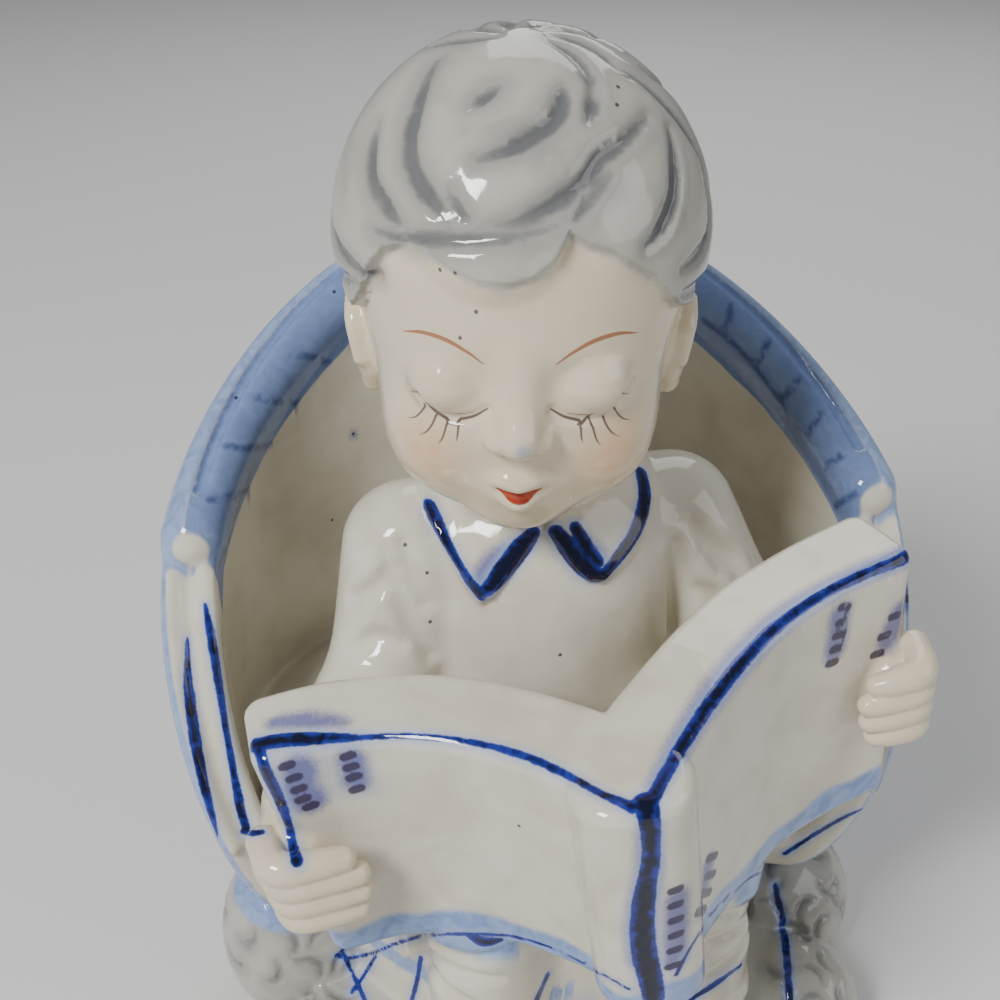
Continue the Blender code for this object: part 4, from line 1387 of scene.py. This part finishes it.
def glazed_porcelain():
    """Warm porcelain with soft washes, then the brush strokes, all under a clear glossy glaze."""
    glaze = Glaze("glazed_porcelain")
    noise, value, spread, paint = glaze.noise, glaze.value, glaze.spread, glaze.paint
    plus, times, covered = glaze.plus, glaze.times, glaze.covered
    broad, fine, grain, streak = noise(9, 3, 0.6), noise(1.6, 4), noise(0.45, 2), noise(3.5, 4, 1.6)
    glaze.colour = covered(PORCELAIN, PORCELAIN_DEEP, spread(broad, -0.15, 0.25))
    paint(SKIN, value("skin"), 0.6)
    paint(BLUSH, times(value("blush"), plus(fine, 0.9)), 0.62)
    paint(covered(HAIR_GREY, HAIR_DEEP, spread(broad, 0.0, 0.4)), value("grey"), 0.92)
    # Painted shade beside the carved grooves of the hair and the foliage, fading out 3 mm from each, and a
    # near-black line in patches along their middles
    groove_gap = plus(value("groove_gap"), times(fine, 0.25))
    paint(HAIR_DEEP, spread(groove_gap, 3.0, 0.3), 0.6)
    paint(GROOVE_DARK, times(spread(groove_gap, 0.55, 0.08), spread(broad, -0.5, 0.0)), 0.72)
    # Light blue outside and along the pages' feet
    wash = covered(WASH, WASH_DEEP, spread(streak, -0.12, 0.22))
    paint(wash, spread(plus(value("wash"), times(fine, 0.2)), 0.15, 0.85), 0.92)
    paint(wash, times(spread(plus(value("foot"), times(broad, 1.6)), 0.8, -0.8), value("page")))
    paint(WASH_DEEP, value("tint"), 0.9)
    # The deeper band inside the rim, and the shoes
    below = plus(value("below"), times(broad, 1.2))
    share = times(value("band"), spread(below, BAND_DEPTH + 0.5, BAND_DEPTH - 0.5))
    share = glaze.combined("MAXIMUM", share, value("shoe"))
    paint(covered(BAND, WASH_DEEP, spread(streak, -0.2, 0.3)), spread(share, 0.2, 0.8), 0.95)
    # Soft strokes, each with how far its edge fades
    for name, ink, soft, strength in (
        ("smear", COBALT_THIN, 1.1, 0.75),
        ("hatch", BAND_DEEP, 0.45, 0.85),
        ("brow", BROW_BROWN, 0.06, 0.9),
    ):
        paint(ink, spread(plus(value(name), times(grain, soft)), soft, -soft), strength)
    # Thick cobalt with a pale halo, nearly black where it lies deep
    gap = value("cobalt")
    ragged = plus(plus(gap, times(fine, 0.35)), times(grain, 0.22))
    paint(HALO, spread(ragged, 1.3, 0.0), 0.55)
    depth = plus(times(gap, -0.8), times(streak, 1.9))
    paint(covered(COBALT_THIN, COBALT_DEEP, spread(depth, -0.15, 0.75)), spread(ragged, 0.16, -0.14))
    paint(DARK_PURPLE, spread(plus(value("dab"), times(grain, 0.2)), 0.2, -0.15), 0.93)
    paint(covered(RED, RED_DEEP, spread(broad, -0.1, 0.2)), spread(value("lips"), 0.12, -0.1))
    paint(LASH_BROWN, spread(value("lash"), 0.07, -0.06), 0.9)
    paint(BLACK, spread(value("speck"), 0.12, -0.05), 0.85)
    # The glaze lies a little uneven
    bump = glaze.node("ShaderNodeBump")
    bump.inputs["Strength"].default_value = GLAZE_UNEVEN
    bump.inputs["Distance"].default_value = GLAZE_RELIEF * MM
    glaze.feed(bump.inputs["Height"], plus(noise(14, 2), times(noise(3.2, 2), 0.16)))
    glaze.feed(glaze.shader.inputs["Base Color"], glaze.colour)
    glaze.feed(glaze.shader.inputs["Normal"], bump.outputs["Normal"])
    glaze.shader.inputs["Roughness"].default_value = GLAZE_ROUGHNESS
    glaze.shader.inputs["IOR"].default_value = GLAZE_IOR
    return glaze.material


def cast_mesh(low, high):
    """The casting's surface as a mesh in millimetre steps, thinned to its triangles."""
    axes = [np.arange(a - 1.2, b + 1.8, GRID).astype(REAL) for a, b in zip(low, high)]
    points, quads = surface_net(sculpt(Grid(*axes)), [axis[0] for axis in axes], GRID)
    rough = bpy.data.objects.new("rough", mesh_from("rough", points, quads))
    bpy.context.scene.collection.objects.link(rough)
    rough.modifiers.new("thin", "DECIMATE").ratio = TRIANGLES / (2 * len(quads))
    graph = bpy.context.evaluated_depsgraph_get()
    mesh = bpy.data.meshes.new_from_object(rough.evaluated_get(graph))
    mesh.name = "figurine"
    bpy.data.objects.remove(rough)
    return mesh


def paint_on(mesh, places, strokes, grooves, foliage):
    """Stores on the mesh how far each of its points is from each stroke, and its washes."""
    paint = {name: stroke_gap(places, tubes) for name, tubes in strokes.items()}
    # Distance to the carved grooves, for the painted shade along them; the foliage's grooves count a
    # little farther off
    paint["groove_gap"] = np.minimum(
        stroke_gap(places, grooves), stroke_gap(places, foliage) + FOLIAGE_PALER
    )
    paint.update(washes(places))
    for name, values in paint.items():
        layer = mesh.attributes.new(name, "FLOAT", "POINT")
        layer.data.foreach_set("value", values.astype(REAL))


def figurine(low, high):
    """The whole casting between two corners in millimetres, painted and glazed."""
    grooves, foliage = cast()
    mesh = cast_mesh(low, high)
    strokes = inks()
    refine(mesh, strokes["cobalt"] + strokes["dab"], BROAD_STROKE_EDGE)
    fine = [tube for name in ("lash", "brow", "lips", "speck") for tube in strokes[name]]
    refine(mesh, fine, FINE_STROKE_EDGE)
    mesh.validate()
    places = np.clip(snapped(vertex_places(mesh), 2), low, high)
    mesh.vertices.foreach_set("co", (places * MM).astype(REAL).ravel())
    mesh.update()
    mesh.shade_smooth()
    mesh.normals_split_custom_set_from_vertices(slope(places).astype(float).tolist())
    paint_on(mesh, places, strokes, grooves, foliage)
    mesh.materials.append(glazed_porcelain())
    obj = bpy.data.objects.new("figurine", mesh)
    bpy.context.scene.collection.objects.link(obj)
    return obj


# Studio, in metres

FLOOR_SIZE, FLOOR_COLOUR, FLOOR_ROUGHNESS = 6, (0.72, 0.71, 0.69, 1), 0.8
SKY_COLOUR, SKY_STRENGTH = (0.9, 0.93, 1.0, 1), 0.24
SENSOR = 36
LIT_PLACE = Vector((0, 0, 0.08))

# Each light's name, place, size and power
LIGHTS = [
    ("key", (-0.45, -0.40, 0.60), 0.22, 7.0),
    ("fill", (0.6, -0.35, 0.40), 0.5, 1.5),
    ("back", (0.2, 0.6, 0.6), 0.5, 2.0),
]


def area_light(name, place, size, power):
    light = bpy.data.lights.new(name, "AREA")
    light.energy, light.size = power, size
    lamp = bpy.data.objects.new(name, light)
    lamp.location = place
    lamp.rotation_euler = (LIT_PLACE - lamp.location).to_track_quat("-Z", "Y").to_euler()
    bpy.context.scene.collection.objects.link(lamp)


def studio():
    """A pale floor, a dim sky, three soft lights and the photo's camera."""
    bpy.ops.mesh.primitive_plane_add(size=FLOOR_SIZE, location=(0, 0, 0))
    floor = bpy.context.object
    floor.name = "floor"
    paint = bpy.data.materials.new("floor")
    paint.use_nodes = True
    shader = paint.node_tree.nodes["Principled BSDF"]
    shader.inputs["Base Color"].default_value = FLOOR_COLOUR
    shader.inputs["Roughness"].default_value = FLOOR_ROUGHNESS
    floor.data.materials.append(paint)
    floor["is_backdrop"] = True
    world = bpy.data.worlds.new("studio")
    world.use_nodes = True
    sky = world.node_tree.nodes["Background"]
    sky.inputs["Color"].default_value, sky.inputs["Strength"].default_value = SKY_COLOUR, SKY_STRENGTH
    bpy.context.scene.world = world
    for light in LIGHTS:
        area_light(*light)
    data = bpy.data.cameras.new("camera")
    data.sensor_width = SENSOR
    data.lens = SENSOR / 2 / tan(radians(HALF_VIEW))
    data.clip_start = 0.01
    camera = bpy.data.objects.new("camera", data)
    camera.location = Vector(CAMERA) * MM
    camera.rotation_euler = Vector(LOOK).to_track_quat("-Z", "Y").to_euler()
    bpy.context.scene.collection.objects.link(camera)
    bpy.context.scene.camera = camera


def main():
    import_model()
    low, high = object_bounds()
    obj = figurine(np.array(low) / MM, np.array(high) / MM)
    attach(obj, "root")
    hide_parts("boy_in_armchair")
    studio()
    low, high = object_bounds()


main()
